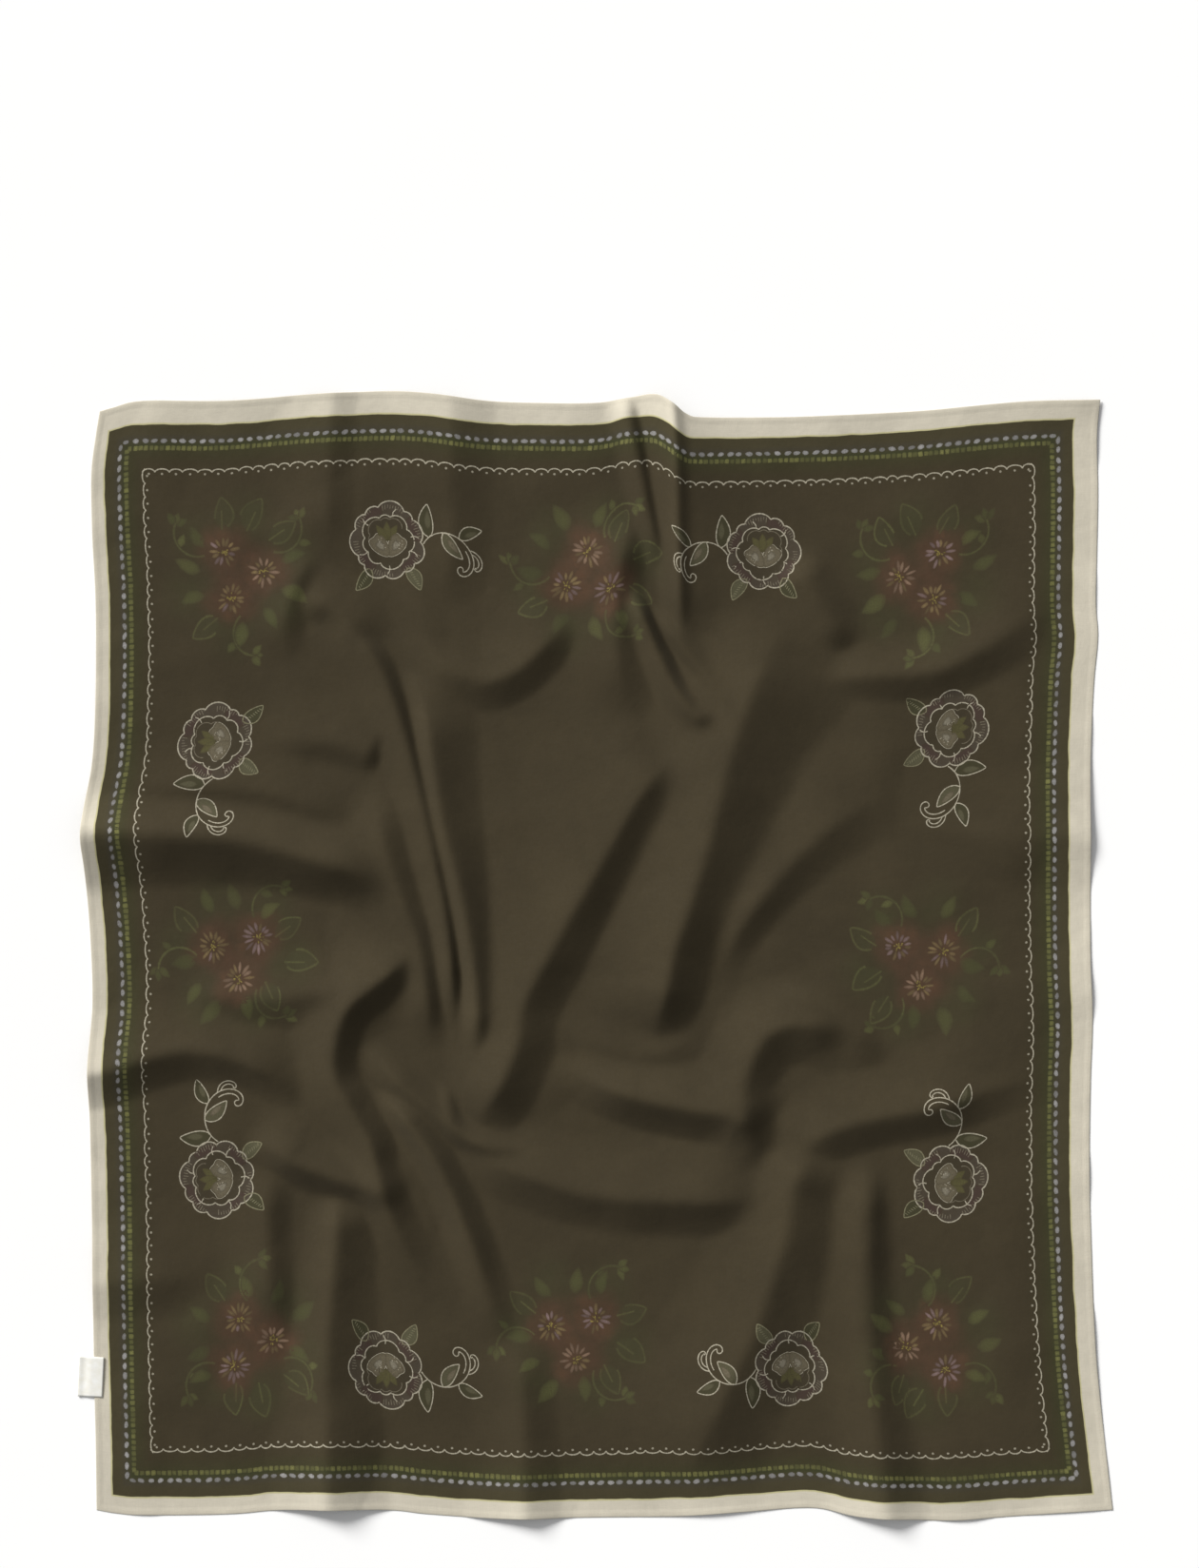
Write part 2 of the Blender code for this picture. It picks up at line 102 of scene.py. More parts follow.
# Folds. Each has a crest along a route, a steep side on the left of the way it runs and a broad
# side on the right, whose widths change evenly from its start to its end. It swells from nothing
# over the share "rise" of its length and dies away over the share "fade"; a fold with no rise or
# no fade runs on past the edge of the cloth there.
Fold = namedtuple("Fold", "name height broad steep rise fade route")
FOLDS = (
    Fold("long_left", 13, (22, 18), (54, 18), 0.22, 0.12,
         [(-178, 283), (-161, 234), (-153, 180), (-144, 126), (-131, 72), (-120, 18), (-113, -36),
          (-111, -102)]),
    Fold("long_left_b", 9, (46, 16), (18, 10), 0.15, 0.15,
         [(-261, 332), (-229, 303), (-205, 272), (-185, 218), (-168, 157), (-153, 90), (-140, 18),
          (-133, -77)]),
    Fold("long_left_c", 8, (66, 34), (28, 16), 0.28, 0.20,
         [(-211, 171), (-202, 112), (-184, 54), (-166, 0), (-155, -93)]),
    Fold("centre", 14, (160, 46), (40, 38), 0.14, 0.14,
         [(81, 197), (41, 152), (2, 85), (-41, 9), (-68, -43), (-76, -86), (-92, -124),
          (-119, -169)]),
    Fold("right_centre", 18, (100, 80), (100, 30), 0.22, 0.14,
         [(191, 335), (164, 283), (140, 228), (122, 171), (108, 113), (91, 56), (75, 10), (64, -41),
          (50, -90)]),
    Fold("thin_right", 8, (84, 46), (44, 20), 0.35, 0.30,
         [(301, 153), (251, 141), (202, 105), (162, 63), (131, 18), (112, -36)]),
    Fold("top_pleat", 12, (46, 16), (16, 17), 0.00, 0.25,
         [(65, 571), (73, 508), (76, 454), (78, 364), (81, 283)]),
    Fold("top_pleat_soft", 10, (12, 12), (66, 80), 0.00, 0.25,
         [(67, 571), (75, 508), (77, 454), (79, 364), (85, 274)]),
    Fold("top_pleat_b", 7, (24, 18), (12, 12), 0.10, 0.25,
         [(26, 531), (39, 468), (50, 414), (65, 360)]),
    Fold("pleat_foot", 9, (66, 50), (22, 40), 0.20, 0.35,
         [(36, 418), (23, 373), (18, 319), (23, 265), (45, 216)]),
    Fold("pocket", 12, (22, 26), (10, 20), 0.25, 0.16,
         [(27, 359), (40, 328), (61, 279), (79, 245), (99, 225), (124, 229)]),
    Fold("pocket_b", 8, (14, 16), (26, 22), 0.30, 0.25,
         [(52, 335), (86, 288), (119, 243), (128, 207)]),
    Fold("right_swag", 8, (66, 30), (38, 22), 0.45, 0.20,
         [(458, 328), (407, 317), (365, 290), (323, 270), (274, 265), (202, 263)]),
    Fold("right_short", 8, (40, 30), (30, 30), 0.25, 0.30,
         [(185, 378), (207, 341), (239, 283)]),
    Fold("top_left_a", 5, (66, 60), (26, 26), 0.00, 0.30,
         [(-248, 571), (-253, 454), (-255, 364)]),
    Fold("top_left_a_low", 6, (50, 40), (22, 22), 0.35, 0.40,
         [(-263, 389), (-284, 351), (-294, 315), (-290, 274)]),
    Fold("top_left_b", 6, (84, 40), (46, 36), 0.00, 0.30,
         [(-137, 571), (-137, 454), (-135, 391), (-144, 319)]),
    Fold("swag_left", 9, (66, 36), (26, 34), 0.22, 0.40,
         [(-18, 328), (-49, 294), (-77, 269), (-110, 260), (-149, 283), (-176, 328)]),
    Fold("swag_outer", 4, (46, 30), (34, 34), 0.25, 0.35,
         [(-59, 296), (-103, 283), (-144, 306), (-171, 339), (-191, 382)]),
    Fold("left_crown", 7, (50, 40), (28, 18), 0.35, 0.35,
         [(-211, 283), (-248, 328), (-293, 335)]),
    Fold("left_light", 6, (54, 54), (20, 26), 0.15, 0.70,
         [(-200, 184), (-248, 202), (-328, 206)]),
    Fold("left_wide", 20, (50, 50), (30, 62), 0.28, 0.00,
         [(-180, 33), (-221, 76), (-275, 94), (-338, 110), (-428, 116), (-523, 117)]),
    Fold("left_wide_b", 6, (50, 50), (26, 22), 0.20, 0.50,
         [(-218, 125), (-266, 141), (-329, 157), (-428, 159), (-509, 159)]),
    Fold("left_dip", 7, (46, 50), (34, 34), 0.20, 0.40,
         [(-225, -28), (-266, -36), (-320, -41), (-392, -32)]),
    Fold("left_mid", 12, (46, 66), (22, 40), 0.25, 0.00,
         [(-274, -144), (-302, -117), (-338, -97), (-383, -89), (-419, -95), (-464, -108),
          (-527, -118)]),
    Fold("left_low", 13, (44, 50), (28, 22), 0.20, 0.30,
         [(-176, -235), (-214, -219), (-248, -208), (-280, -196), (-308, -180), (-331, -167)]),
    Fold("left_patch", 6, (80, 80), (30, 44), 0.35, 0.00,
         [(-356, -306), (-428, -306), (-527, -311)]),
    Fold("hook", 13, (64, 20), (26, 24), 0.12, 0.35,
         [(-164, 15), (-199, -19), (-234, -48), (-247, -81), (-247, -115), (-232, -144),
          (-214, -176), (-204, -212), (-191, -252), (-169, -297), (-157, -333)]),
    Fold("hook_right", 9, (22, 24), (20, 20), 0.30, 0.30,
         [(-59, -201), (-118, -173), (-157, -144), (-190, -115), (-223, -77)]),
    Fold("jay", 7, (22, 16), (14, 10), 0.30, 0.40,
         [(-144, -113), (-140, -144), (-128, -167), (-95, -181), (-47, -187)]),
    Fold("ray_b", 12, (18, 30), (24, 24), 0.18, 0.40,
         [(-207, -122), (-175, -160), (-149, -198), (-130, -241), (-112, -288), (-94, -342),
          (-85, -374)]),
    Fold("mid_ripple", 4, (50, 50), (28, 28), 0.40, 0.40,
         [(121, -57), (58, -93), (-5, -79), (-43, -50)]),
    Fold("low_wide", 13, (84, 38), (38, 32), 0.25, 0.30,
         [(182, -221), (121, -230), (58, -230), (-5, -225), (-59, -209), (-113, -187),
          (-142, -163)]),
    Fold("low_mid", 16, (60, 40), (38, 26), 0.15, 0.40,
         [(162, -172), (128, -151), (89, -144), (42, -134), (2, -120), (-41, -93)]),
    Fold("low_wall", 12, (46, 62), (44, 26), 0.20, 0.25,
         [(251, -77), (203, -65), (167, -71), (148, -97), (140, -131), (145, -180), (157, -221)]),
    Fold("right_arc", 6, (54, 36), (18, 18), 0.30, 0.30,
         [(157, -32), (202, -45), (242, -70), (275, -111)]),
    Fold("right_low", 10, (80, 46), (28, 32), 0.45, 0.20,
         [(440, -106), (373, -126), (314, -144), (251, -156), (209, -174), (185, -208)]),
    Fold("foot_a", 14, (60, 110), (44, 70), 0.12, 0.25,
         [(207, -172), (187, -221), (179, -266), (166, -309), (148, -360), (122, -414), (98, -468),
          (77, -518)]),
    Fold("foot_b", 11, (40, 60), (18, 44), 0.15, 0.00,
         [(256, -187), (256, -232), (255, -293), (257, -356), (263, -419), (270, -482),
          (277, -572)]),
    Fold("right_edge", 5, (90, 60), (56, 34), 0.00, 0.40,
         [(517, 112), (391, 112), (283, 125)]),
    Fold("low_left_a", 12, (30, 60), (34, 66), 0.12, 0.00,
         [(-245, -217), (-244, -257), (-248, -311), (-252, -374), (-253, -446), (-253, -572)]),
    Fold("low_left_b", 7, (50, 50), (24, 24), 0.25, 0.35,
         [(-309, -194), (-310, -257), (-308, -311), (-302, -369)]),
    Fold("low_centre", 8, (50, 56), (30, 38), 0.25, 0.00,
         [(-77, -351), (-70, -401), (-67, -464), (-67, -572)]),
)

# Where the dark ground of the print starts, in from the four corners of the cut
GROUND_LEFT = (16.2, 13.6)      # at the bottom and at the top
GROUND_BOTTOM = 17.0
GROUND_RIGHT = (17.6, 24.2)
GROUND_TOP = (23.0, 18.6)       # at the left and at the right

# Rows of marks round the ground: how far in from its edge they run, and their pitch along the sides
Row = namedtuple("Row", "left bottom right top pitch")
GRAINS = Row(14.4, 15.3, 13.5, 15.2, 9.2)
SQUARES = Row(21.2, 22.4, 19.6, 21.9, 5.2)
SCALLOPS = Row(37.4, 41.6, 36.9, 41.0, 13.2)
SCALLOP_RISES = (2.8, 2.4, 2.9, 2.2)     # at the bottom, the right, the top and the left
SCALLOP_DOT = 2.0               # how far inside the scallops' feet their dots are

RIGHT, LEFT, UP, DOWN = (1, 0), (-1, 0), (0, 1), (0, -1)
# Roses: place, the way the scroll leaves the head, and the way the leaves under the head point
Rose = namedtuple("Rose", "u v scroll leaf")
ROSES = [Rose(*row) for row in (
    (287, 911, RIGHT, DOWN), (665, 921, LEFT, DOWN),
    (288, 131, RIGHT, UP), (686, 135, LEFT, UP),
    (120, 732, DOWN, RIGHT), (123, 312, UP, RIGHT),
    (852, 746, DOWN, LEFT), (854, 317, UP, LEFT))]
# Posies of three daisies: place, and the ways that the drawing's right and up point there
Posy = namedtuple("Posy", "u v right up")
POSIES = [Posy(*row) for row in (
    (142, 887, RIGHT, UP), (822, 893, LEFT, UP), (152, 159, RIGHT, DOWN), (828, 164, LEFT, DOWN),
    (482, 888, UP, RIGHT), (141, 524, DOWN, RIGHT), (825, 529, DOWN, LEFT),
    (474, 171, DOWN, RIGHT))]
DAISIES = ((-15, 22), (23, 1), (-9, -22))       # their centres in a posy
DAISY_RADIUS = 15.0
DAISY_DASHES = 14               # of a daisy's heart
BLOTS = 5                       # of redder ground round a daisy
RUST_REACH = 31.0               # of the rust-coloured ground round a daisy

# A posy's leaves stand round it: the angle of each, its length and width, and whether it is filled
Leaf = namedtuple("Leaf", "angle length width filled")
POSY_LEAVES = [Leaf(*row) for row in (
    (12, 26, 13, True), (45, 31, 18, False), (78, 33, 20, False), (110, 30, 18, False),
    (142, 24, 12, True), (175, 27, 14, True), (208, 25, 13, True), (240, 31, 18, False),
    (272, 28, 15, True), (305, 25, 12, True), (338, 30, 16, True))]
POSY_REACH = 42                 # of the leaves' feet from a posy's middle
VINES = 3                       # evenly round a posy, bent one way and the other
VINE_START, VINE_OFF, VINE_SWEEP = 30, 50, 135  # degrees
VINE_LENGTH = 52
VINE_LEAVES = ((0.55, -60), (0.99, -45), (0.99, 5), (0.99, 55))     # share of the vine, turn
LEAFY_ANGLES = np.arange(20, 380, 60)           # of the soft green grounds round a posy
LEAFY_REACH = 54
LEAFY_SIZE = 38

# Colours as they show on a display, 0 to 255
EDGE_CLOTH = (198, 191, 174)
EDGE_TINT = (184, 178, 136)
GROUND_BANDS = (                # distance in from the ground's edge, colour there
    (0.0, (63, 57, 37)), (8.0, (64, 58, 39)), (12.0, (62, 57, 43)), (16.0, (60, 57, 37)),
    (19.0, (54, 55, 31)), (24.0, (56, 53, 31)), (36.0, (57, 50, 32)), (48.0, (59, 51, 34)))
RUST = (74, 54, 39)
RUST_RIM = (92, 65, 44)
LEAFY = (61, 60, 36)
LEAF_LINE = (88, 90, 53)
LEAF_FILL = (74, 74, 43)
CREAM = (172, 165, 146)
LAVENDER = (140, 138, 137)
SQUARE_GREEN = (104, 103, 60)
PETAL = (124, 102, 84)
PETAL_MAUVE = (116, 98, 96)
PETAL_OLIVE = (108, 92, 62)
PETALS = ((PETAL_MAUVE, PETAL_OLIVE), (PETAL, PETAL_OLIVE), (PETAL_OLIVE, PETAL_MAUVE))
OCHRE = (118, 106, 54)
ROSE_SHADE = (72, 64, 55)
ROSE_FLUSH = (66, 51, 46)
ROSE_MOSS = (58, 58, 36)
ROSE_DEPTH = (57, 50, 35)
BUD_OLIVE = (82, 78, 46)
BONE = (110, 102, 83)
ROSE_HATCH = (132, 124, 106)
ROSE_LEAF = (86, 84, 62)
ROSE_LEAF_LINE = (122, 118, 92)

# A rose as it is drawn round its middle: the number of petals, and how far out they start
RIM_PETALS, RIM_REACH = 11, 32
HEART_PETALS, HEART_REACH = 8, 22
PETAL_BULGE = 0.2
FLUSH = (25, 33)                # nearest and farthest reach of the flushed rim petals
CREASE = ((31, 0), (27, 1.8), (23, 1.2))        # a petal crease's points: how far out and aside
HATCH_STROKES, HATCH_GROUP, HATCH_SHOWN = 78, 13, 9     # in all, in a group, and drawn of a group
HATCH_START, HATCH_ENDS = 33.5, (28.0, 31.0)
BUD_ANGLES, BUD_LENGTH, BUD_WIDTH = (55, 90, 125), 18, 8
HEART_FOOT = (0, -14)           # where the heart's two bright petals start
HEART_LENGTH, HEART_WIDTH = 25, 18
HEART_SPREAD = 38               # of the two from the upright, in degrees
# Its scroll: start, heading, sweep, curl and length of the stem; then the branch on it
STEM = ((34, -3), 60, -225, -300, 106)
BRANCH_SHARE, BRANCH_OFF = 0.55, 60
BRANCH = (-170, -280, 34)       # sweep, curl, length
SCROLL_LEAVES = 3               # at even steps along the stem, on its two sides in turn
SCROLL_LEAF_SHARES = (0.1, 0.15)        # of the stem run at the first, and from one to the next
SCROLL_LEAF_LENGTHS = (31, 3)   # of the first, and how much shorter each next one is
SCROLL_LEAF_OFF = 55
# Its two leaves under the head
LOWER_FOOT = 31
LOWER_SPREAD = 35
LOWER_LENGTH, LOWER_WIDTH = 24, 13

# The print's pieces, from the seed of each one's draws and its lift off the cloth
PRINTS = {"print_borders": (31, 0.07), "print_roses": (32, 0.07),
          "print_leaves": (33, 0.05), "print_daisies": (34, 0.10)}
LAYER_LIFT = 0.015              # between one layer of marks and the next
MARK_STEPS = 12                 # marks of a layer lie at this many slightly different heights
LINE_WIDTH = 1.05
LINE_STEP = 1.3
UNEVEN_WIDTH = 0.22
SHARP_TURN = 0.5                # a line starts afresh where it turns more than this cosine's angle

UNDERSIDE = (120, 112, 98)
TAPE = (240, 240, 236)
TAPE_WARM = (230, 227, 216)
FLOOR = (253, 253, 253)
WEAVE_PITCH = 0.36

# Sewing
THREAD = 0.26
STITCH_PITCH = 3.0
STITCH_SHARE = 0.78             # of the pitch that shows as thread

# Label: tape folded in two, lying across the left hem
LABEL_WIDTH = 23.4
LABEL_LENGTH = 37.8
LABEL_PLACE = (-477.3, -398.0)
LABEL_TURN = 2.6                # degrees clockwise
LABEL_PLY = 0.42
LABEL_GAP = 0.12
LABEL_CURL = 0.5                # rise of the free edge's corners

# View and light
VIEW_CENTRE = (0.0036, 0.1625)  # metres, as are the next two
VIEW_DISTANCE = 5.0
VIEW_HEIGHT = 1.483
KEY_AZIMUTH = 135.0             # degrees, counter-clockwise from +X
KEY_ELEVATION = 26.0
KEY_SOFTNESS = 24.0
KEY_STRENGTH = 4.95
KEY_COLOUR = (1.0, 0.99, 0.97)
FILL_STRENGTH = 0.34
FILL_COLOUR = (0.98, 0.99, 1.0)
FLOOR_HALF = 6.0                # metres


def ease(share):
    """Smooth step from 0 to 1."""
    share = np.clip(share, 0, 1)
    return share * share * (3 - 2 * share)


def smooth_route(points, steps=ROUTE_STEPS):
    """A smooth curve through the points, as rows of x and y."""
    knots = np.array(points, float)
    knots = np.vstack([2 * knots[0] - knots[1], knots, 2 * knots[-1] - knots[-2]])
    share = np.linspace(0, 1, steps, endpoint=False)[:, None]
    stretches = []
    for before, start, end, after in zip(knots, knots[1:], knots[2:], knots[3:]):
        stretches.append(0.5 * (2 * start + (end - before) * share
                                + (2 * before - 5 * start + 4 * end - after) * share ** 2
                                + (3 * start - 3 * end + after - before) * share ** 3))
    return np.vstack(stretches + [knots[-2:-1]])


def run_length(route):
    """Distance run along a route up to each of its points."""
    steps = np.hypot(*np.diff(route, axis=0).T)
    return np.concatenate([[0], np.cumsum(steps)])


def nearest_on_route(x, y, route):
    """Distance to the route, which side of it (+ is its left), and the share of it run there."""
    run = run_length(route)
    nearest = np.full(x.shape, np.inf)
    side = np.zeros(x.shape)
    along = np.zeros(x.shape)
    for start, end, run_start, run_end in zip(route, route[1:], run, run[1:]):
        (dx, dy), length = end - start, run_end - run_start
        share = np.clip(((x - start[0]) * dx + (y - start[1]) * dy) / length ** 2, 0, 1)
        off_x = x - start[0] - share * dx
        off_y = y - start[1] - share * dy
        distance = np.hypot(off_x, off_y)
        closer = distance < nearest
        nearest = np.where(closer, distance, nearest)
        side = np.where(closer, dx * off_y - dy * off_x, side)
        along = np.where(closer, (run_start + share * length) / run[-1], along)
    return nearest, side, along


def fall(distance, width, bow):
    """Share of a fold's height left at a distance from its crest, on a side of this width."""
    off = np.hypot(distance, CREST_ROUNDING) - CREST_ROUNDING
    reach = np.hypot(width, CREST_ROUNDING) - CREST_ROUNDING
    return np.clip(1 - off / reach, 0, 1) ** bow


def fold_height(fold, x, y):
    """Height that one fold lifts the cloth at the places x, y."""
    distance, side, along = nearest_on_route(x, y, smooth_route(fold.route))
    steep = fold.steep[0] + along * (fold.steep[1] - fold.steep[0])
    broad = fold.broad[0] + along * (fold.broad[1] - fold.broad[0])
    height = np.where(side > 0, fall(distance, steep, STEEP_BOW), fall(distance, broad, BROAD_BOW))
    if fold.rise:
        height = height * ease(along / fold.rise)
    if fold.fade:
        height = height * ease((1 - along) / fold.fade)
    return fold.height * height


def edge_at(edge, shares):
    """Places on an edge at even shares of its length."""
    line = smooth_route(edge)
    run = run_length(line)
    return np.stack([np.interp(shares * run[-1], run, line[:, axis]) for axis in (0, 1)], axis=-1)


def sheet_plan(columns, rows):
    """Plan of the sheet as rows of points, spanned between its four edges."""
    across = np.linspace(0, 1, columns + 1)
    up = np.linspace(0, 1, rows + 1)
    bottom, top = edge_at(BOTTOM_EDGE, across), edge_at(TOP_EDGE, across)
    left, right = edge_at(LEFT_EDGE, up), edge_at(RIGHT_EDGE, up)
    s, t = across[None, :, None], up[:, None, None]
    corners = ((1 - s) * (1 - t) * bottom[0] + s * (1 - t) * bottom[-1]
               + (1 - s) * t * top[0] + s * t * top[-1])
    return ((1 - t) * bottom + t * top + (1 - s) * left[:, None] + s * right[:, None]) - corners


def unevenness(x, y):
    """Height of the slight waviness at the places x, y."""
    draw = np.random.default_rng(11)
    total = np.full(x.shape, WAVE_LEVEL)
    for _ in range(WAVES):
        length = draw.uniform(*WAVE_LENGTH)
        way, shift = draw.uniform(0, 2 * np.pi, 2)
        run = (x * np.cos(way) + y * np.sin(way)) / length
        total += WAVE_SLOPE * length * np.sin(2 * np.pi * run + shift)
    return np.maximum(total, 0)


def height_map():
    """Height of the cloth's underside on an even grid of places."""
    x, y = (np.arange(-half, half + MAP_PITCH, MAP_PITCH) for half in MAP_HALF)
    heights = np.zeros((len(y), len(x)))
    for fold in FOLDS:
        reach = max(fold.broad + fold.steep) + MAP_MARGIN
        low, high = np.min(fold.route, axis=0) - reach, np.max(fold.route, axis=0) + reach
        columns = np.flatnonzero((x > low[0]) & (x < high[0]))
        rows = np.flatnonzero((y > low[1]) & (y < high[1]))
        heights[np.ix_(rows, columns)] += fold_height(
            fold, *np.meshgrid(x[columns], y[rows])) ** BLEND_POWER
    return heights ** (1 / BLEND_POWER) + unevenness(*np.meshgrid(x, y))


def sample(grid, column, row):
    """Values between the points of a grid, at fractional columns and rows."""
    column = np.clip(column, 0, grid.shape[1] - 1.001)
    row = np.clip(row, 0, grid.shape[0] - 1.001)
    i, j = column.astype(int), row.astype(int)
    s, t = column - i, row - j
    if grid.ndim == 3:
        s, t = s[..., None], t[..., None]
    return ((1 - t) * ((1 - s) * grid[j, i] + s * grid[j, i + 1])
            + t * ((1 - s) * grid[j + 1, i] + s * grid[j + 1, i + 1]))


def length_shares(points, axis):
    """Share of the cloth's length run at each point along its grid lines."""
    run = np.cumsum(np.linalg.norm(np.diff(points, axis=axis), axis=2), axis=axis)
    run = np.concatenate([np.zeros_like(np.take(run, [0], axis=axis)), run], axis=axis)
    return run / np.take(run, [-1], axis=axis)


def lying_places(columns, rows):
    """Where the points of the flat cut lie: the cloth runs over its folds without stretching."""
    heights = height_map()

    def lifted(points):
        column, row = ((points[..., axis] + MAP_HALF[axis]) / MAP_PITCH for axis in (0, 1))
        return np.dstack([points, sample(heights, column, row)])

    plan = sheet_plan(PLAN_COLUMNS, PLAN_ROWS)
    across, up = (length_shares(lifted(plan), axis) for axis in (1, 0))
    want_across, want_up = np.meshgrid(columns / CUT_WIDTH, rows / CUT_LENGTH)
    s, t = want_across, want_up
    for _ in range(SETTLE_STEPS):
        place = s * PLAN_COLUMNS, t * PLAN_ROWS
        s, t = (np.clip(s + want_across - sample(across, *place), 0, 1),
                np.clip(t + want_up - sample(up, *place), 0, 1))
    return lifted(sample(plan, s * PLAN_COLUMNS, t * PLAN_ROWS))


def grid_lines(length, count, busy):
    """Places of the grid's lines across a side of the cut: closer where the folds are tight."""
    hem = np.array(HEM_LINES)
    inner = hem[-1] + 1.2
    place = np.linspace(inner, length - inner, 4000)
    density = 1 + sum(gain * np.exp(-((place - middle) / reach) ** 2)
                      for middle, reach, gain in busy)
    run = np.cumsum(density) - density[0]
    return np.concatenate([hem, np.interp(np.linspace(0, run[-1], count), run, place),
                           length - hem[::-1]])


def sheet_thickness(flat):
    """Thickness at places of the cut: the hem is folded cloth with a rounded outer edge."""
    inset = np.minimum(np.minimum(flat[..., 0], CUT_WIDTH - flat[..., 0]),
                       np.minimum(flat[..., 1], CUT_LENGTH - flat[..., 1]))
    rounding = 1 - np.clip(1 - inset / HEM_ROUNDING, 0, 1) ** 2
    hem = HEM_THICKNESS * (0.35 + 0.65 * rounding ** 0.5)
    return hem + (THICKNESS - hem) * ease((inset - HEM_WIDTH) / HEM_STEP)


def left_of(ways):
    """The ways at right angles to these, on their left."""
    return np.stack([-ways[..., 1], ways[..., 0]], axis=-1)


def spoke(angle):
    """The way out from a middle at an angle in radians, and the way across it."""
    way = np.array([np.cos(angle), np.sin(angle)])
    return way, left_of(way)


def unit(vectors):
    """The same vectors, each one long."""
    return vectors / np.linalg.norm(vectors, axis=-1, keepdims=True)


def numbered(grid):
    """A number for each point of a grid of points."""
    return np.arange(grid[..., 0].size).reshape(grid.shape[:2])


def cells_of(number):
    """Point numbers at the four corners of each cell of a grid, counter-clockwise."""
    return number[:-1, :-1], number[:-1, 1:], number[1:, 1:], number[1:, :-1]


def rim_of(number):
    """Numbers of a grid's outer points, counter-clockwise."""
    return np.concatenate([number[0, :-1], number[:-1, -1], number[-1, :0:-1], number[:0:-1, 0]])


class LyingCloth:
    """The scarf as it lies: a place in space for each grid point of its flat cut."""

    def __init__(self):
        self.columns = grid_lines(CUT_WIDTH, COLUMNS, BUSY_ACROSS)
        self.rows = grid_lines(CUT_LENGTH, ROWS, BUSY_UP)
        self.flat = np.dstack(np.meshgrid(self.columns, self.rows))
        self.under = lying_places(self.columns, self.rows)
        self.normals = unit(np.cross(np.gradient(self.under, axis=1),
                                     np.gradient(self.under, axis=0)))
        self.top = self.under + self.normals * sheet_thickness(self.flat)[..., None]
        n = self.normals
        self.rising = ((n[:-1, :-1] * n[1:, 1:]).sum(-1) > (n[:-1, 1:] * n[1:, :-1]).sum(-1))

    def triangles(self):
        """The triangles of one layer: each cell is cut along its smoother diagonal."""
        a, b, c, d = cells_of(numbered(self.flat))
        rising = self.rising[..., None]
        first = np.where(rising, np.dstack([a, b, c]), np.dstack([a, b, d]))
        second = np.where(rising, np.dstack([a, c, d]), np.dstack([b, c, d]))
        return np.concatenate([first.reshape(-1, 3), second.reshape(-1, 3)])

    def at(self, flat, lift):
        """Places and normals on the face over places of the cut, lifted off it."""
        (i, s), (j, t) = locate(self.columns, flat[:, 0]), locate(self.rows, flat[:, 1])
        rising = self.rising[j, i]
        lower = np.where(rising, s >= t, s + t <= 1)
        shares = np.where(
            rising,
            np.where(lower, [1 - s, s - t, t, 0 * s], [1 - t, 0 * s, s, t - s]),
            np.where(lower, [1 - s - t, s, 0 * s, t], [0 * s, 1 - t, s + t - 1, 1 - s]))
        corners = (j, i), (j, i + 1), (j + 1, i + 1), (j + 1, i)
        place, normal = (
            sum(share[:, None] * grid[corner] for share, corner in zip(shares, corners))
            for grid in (self.top, self.normals))
        normal = unit(normal)
        return place + lift * normal, normal


def locate(lines, values):
    """Number of the grid cell that holds each value, and the share of the cell passed there."""
    cell = np.clip(np.searchsorted(lines, values, side="right") - 1, 0, len(lines) - 2)
    return cell, (values - lines[cell]) / (lines[cell + 1] - lines[cell])


def display(colour):
    """Linear colour from one given as it shows on a display, 0 to 255."""
    share = np.array(colour, float) / 255
    return np.where(share > 0.04045, ((share + 0.055) / 1.055) ** 2.4, share / 12.92)


def put_in_scene(name, data):
    """A new object of the scene that shows the data."""
    made = bpy.data.objects.new(name, data)
    bpy.context.scene.collection.objects.link(made)
    return made


def mesh_piece(name, points, faces, material):
    """A smooth-shaded mesh piece from points in millimetres, riding on the scarf's body."""
    mesh = bpy.data.meshes.new(name)
    mesh.from_pydata((np.asarray(points) * MM).tolist(), [], np.asarray(faces).tolist())
    mesh.materials.append(material)
    mesh.shade_smooth()
    piece = put_in_scene(name, mesh)
    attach(piece, "root")
    return piece


def note(piece, name, values):
    """Write a value, a place or a colour for each point of a piece, for its material to read."""
    kind, field = {1: ("FLOAT", "value"), 3: ("FLOAT_VECTOR", "vector"),
                   4: ("FLOAT_COLOR", "color")}[1 if values.ndim == 1 else values.shape[1]]
    attribute = piece.data.attributes.new(name, kind, "POINT")
    attribute.data.foreach_set(field, np.ascontiguousarray(values, np.float32).ravel())


def note_print(piece, flat):
    """What the ground of the print needs: the place on the cut, and the soft colours there."""
    note(piece, "flat", np.column_stack([flat, np.zeros(len(flat))]))
    note(piece, "rust", rust_at(flat))
    note(piece, "leafy", leafy_at(flat))


def rust_at(flat):
    """How much of the daisies' rust-coloured ground there is at places of the cut."""
    left = np.ones(len(flat))
    for posy in POSIES:
        for number, daisy in enumerate(DAISIES):
            off = flat - (posy.u, posy.v) - turned([daisy], posy.right, posy.up)[0]
            angle = np.arctan2(off[:, 1], off[:, 0])
            reach = RUST_REACH * (1 + 0.10 * np.sin(3 * angle + 2 * number)
                                  + 0.07 * np.sin(5 * angle + posy.u))
            left *= 1 - 0.9 * (1 - ease((np.hypot(*off.T) / reach - 0.45) / 0.6))
    return 1 - left


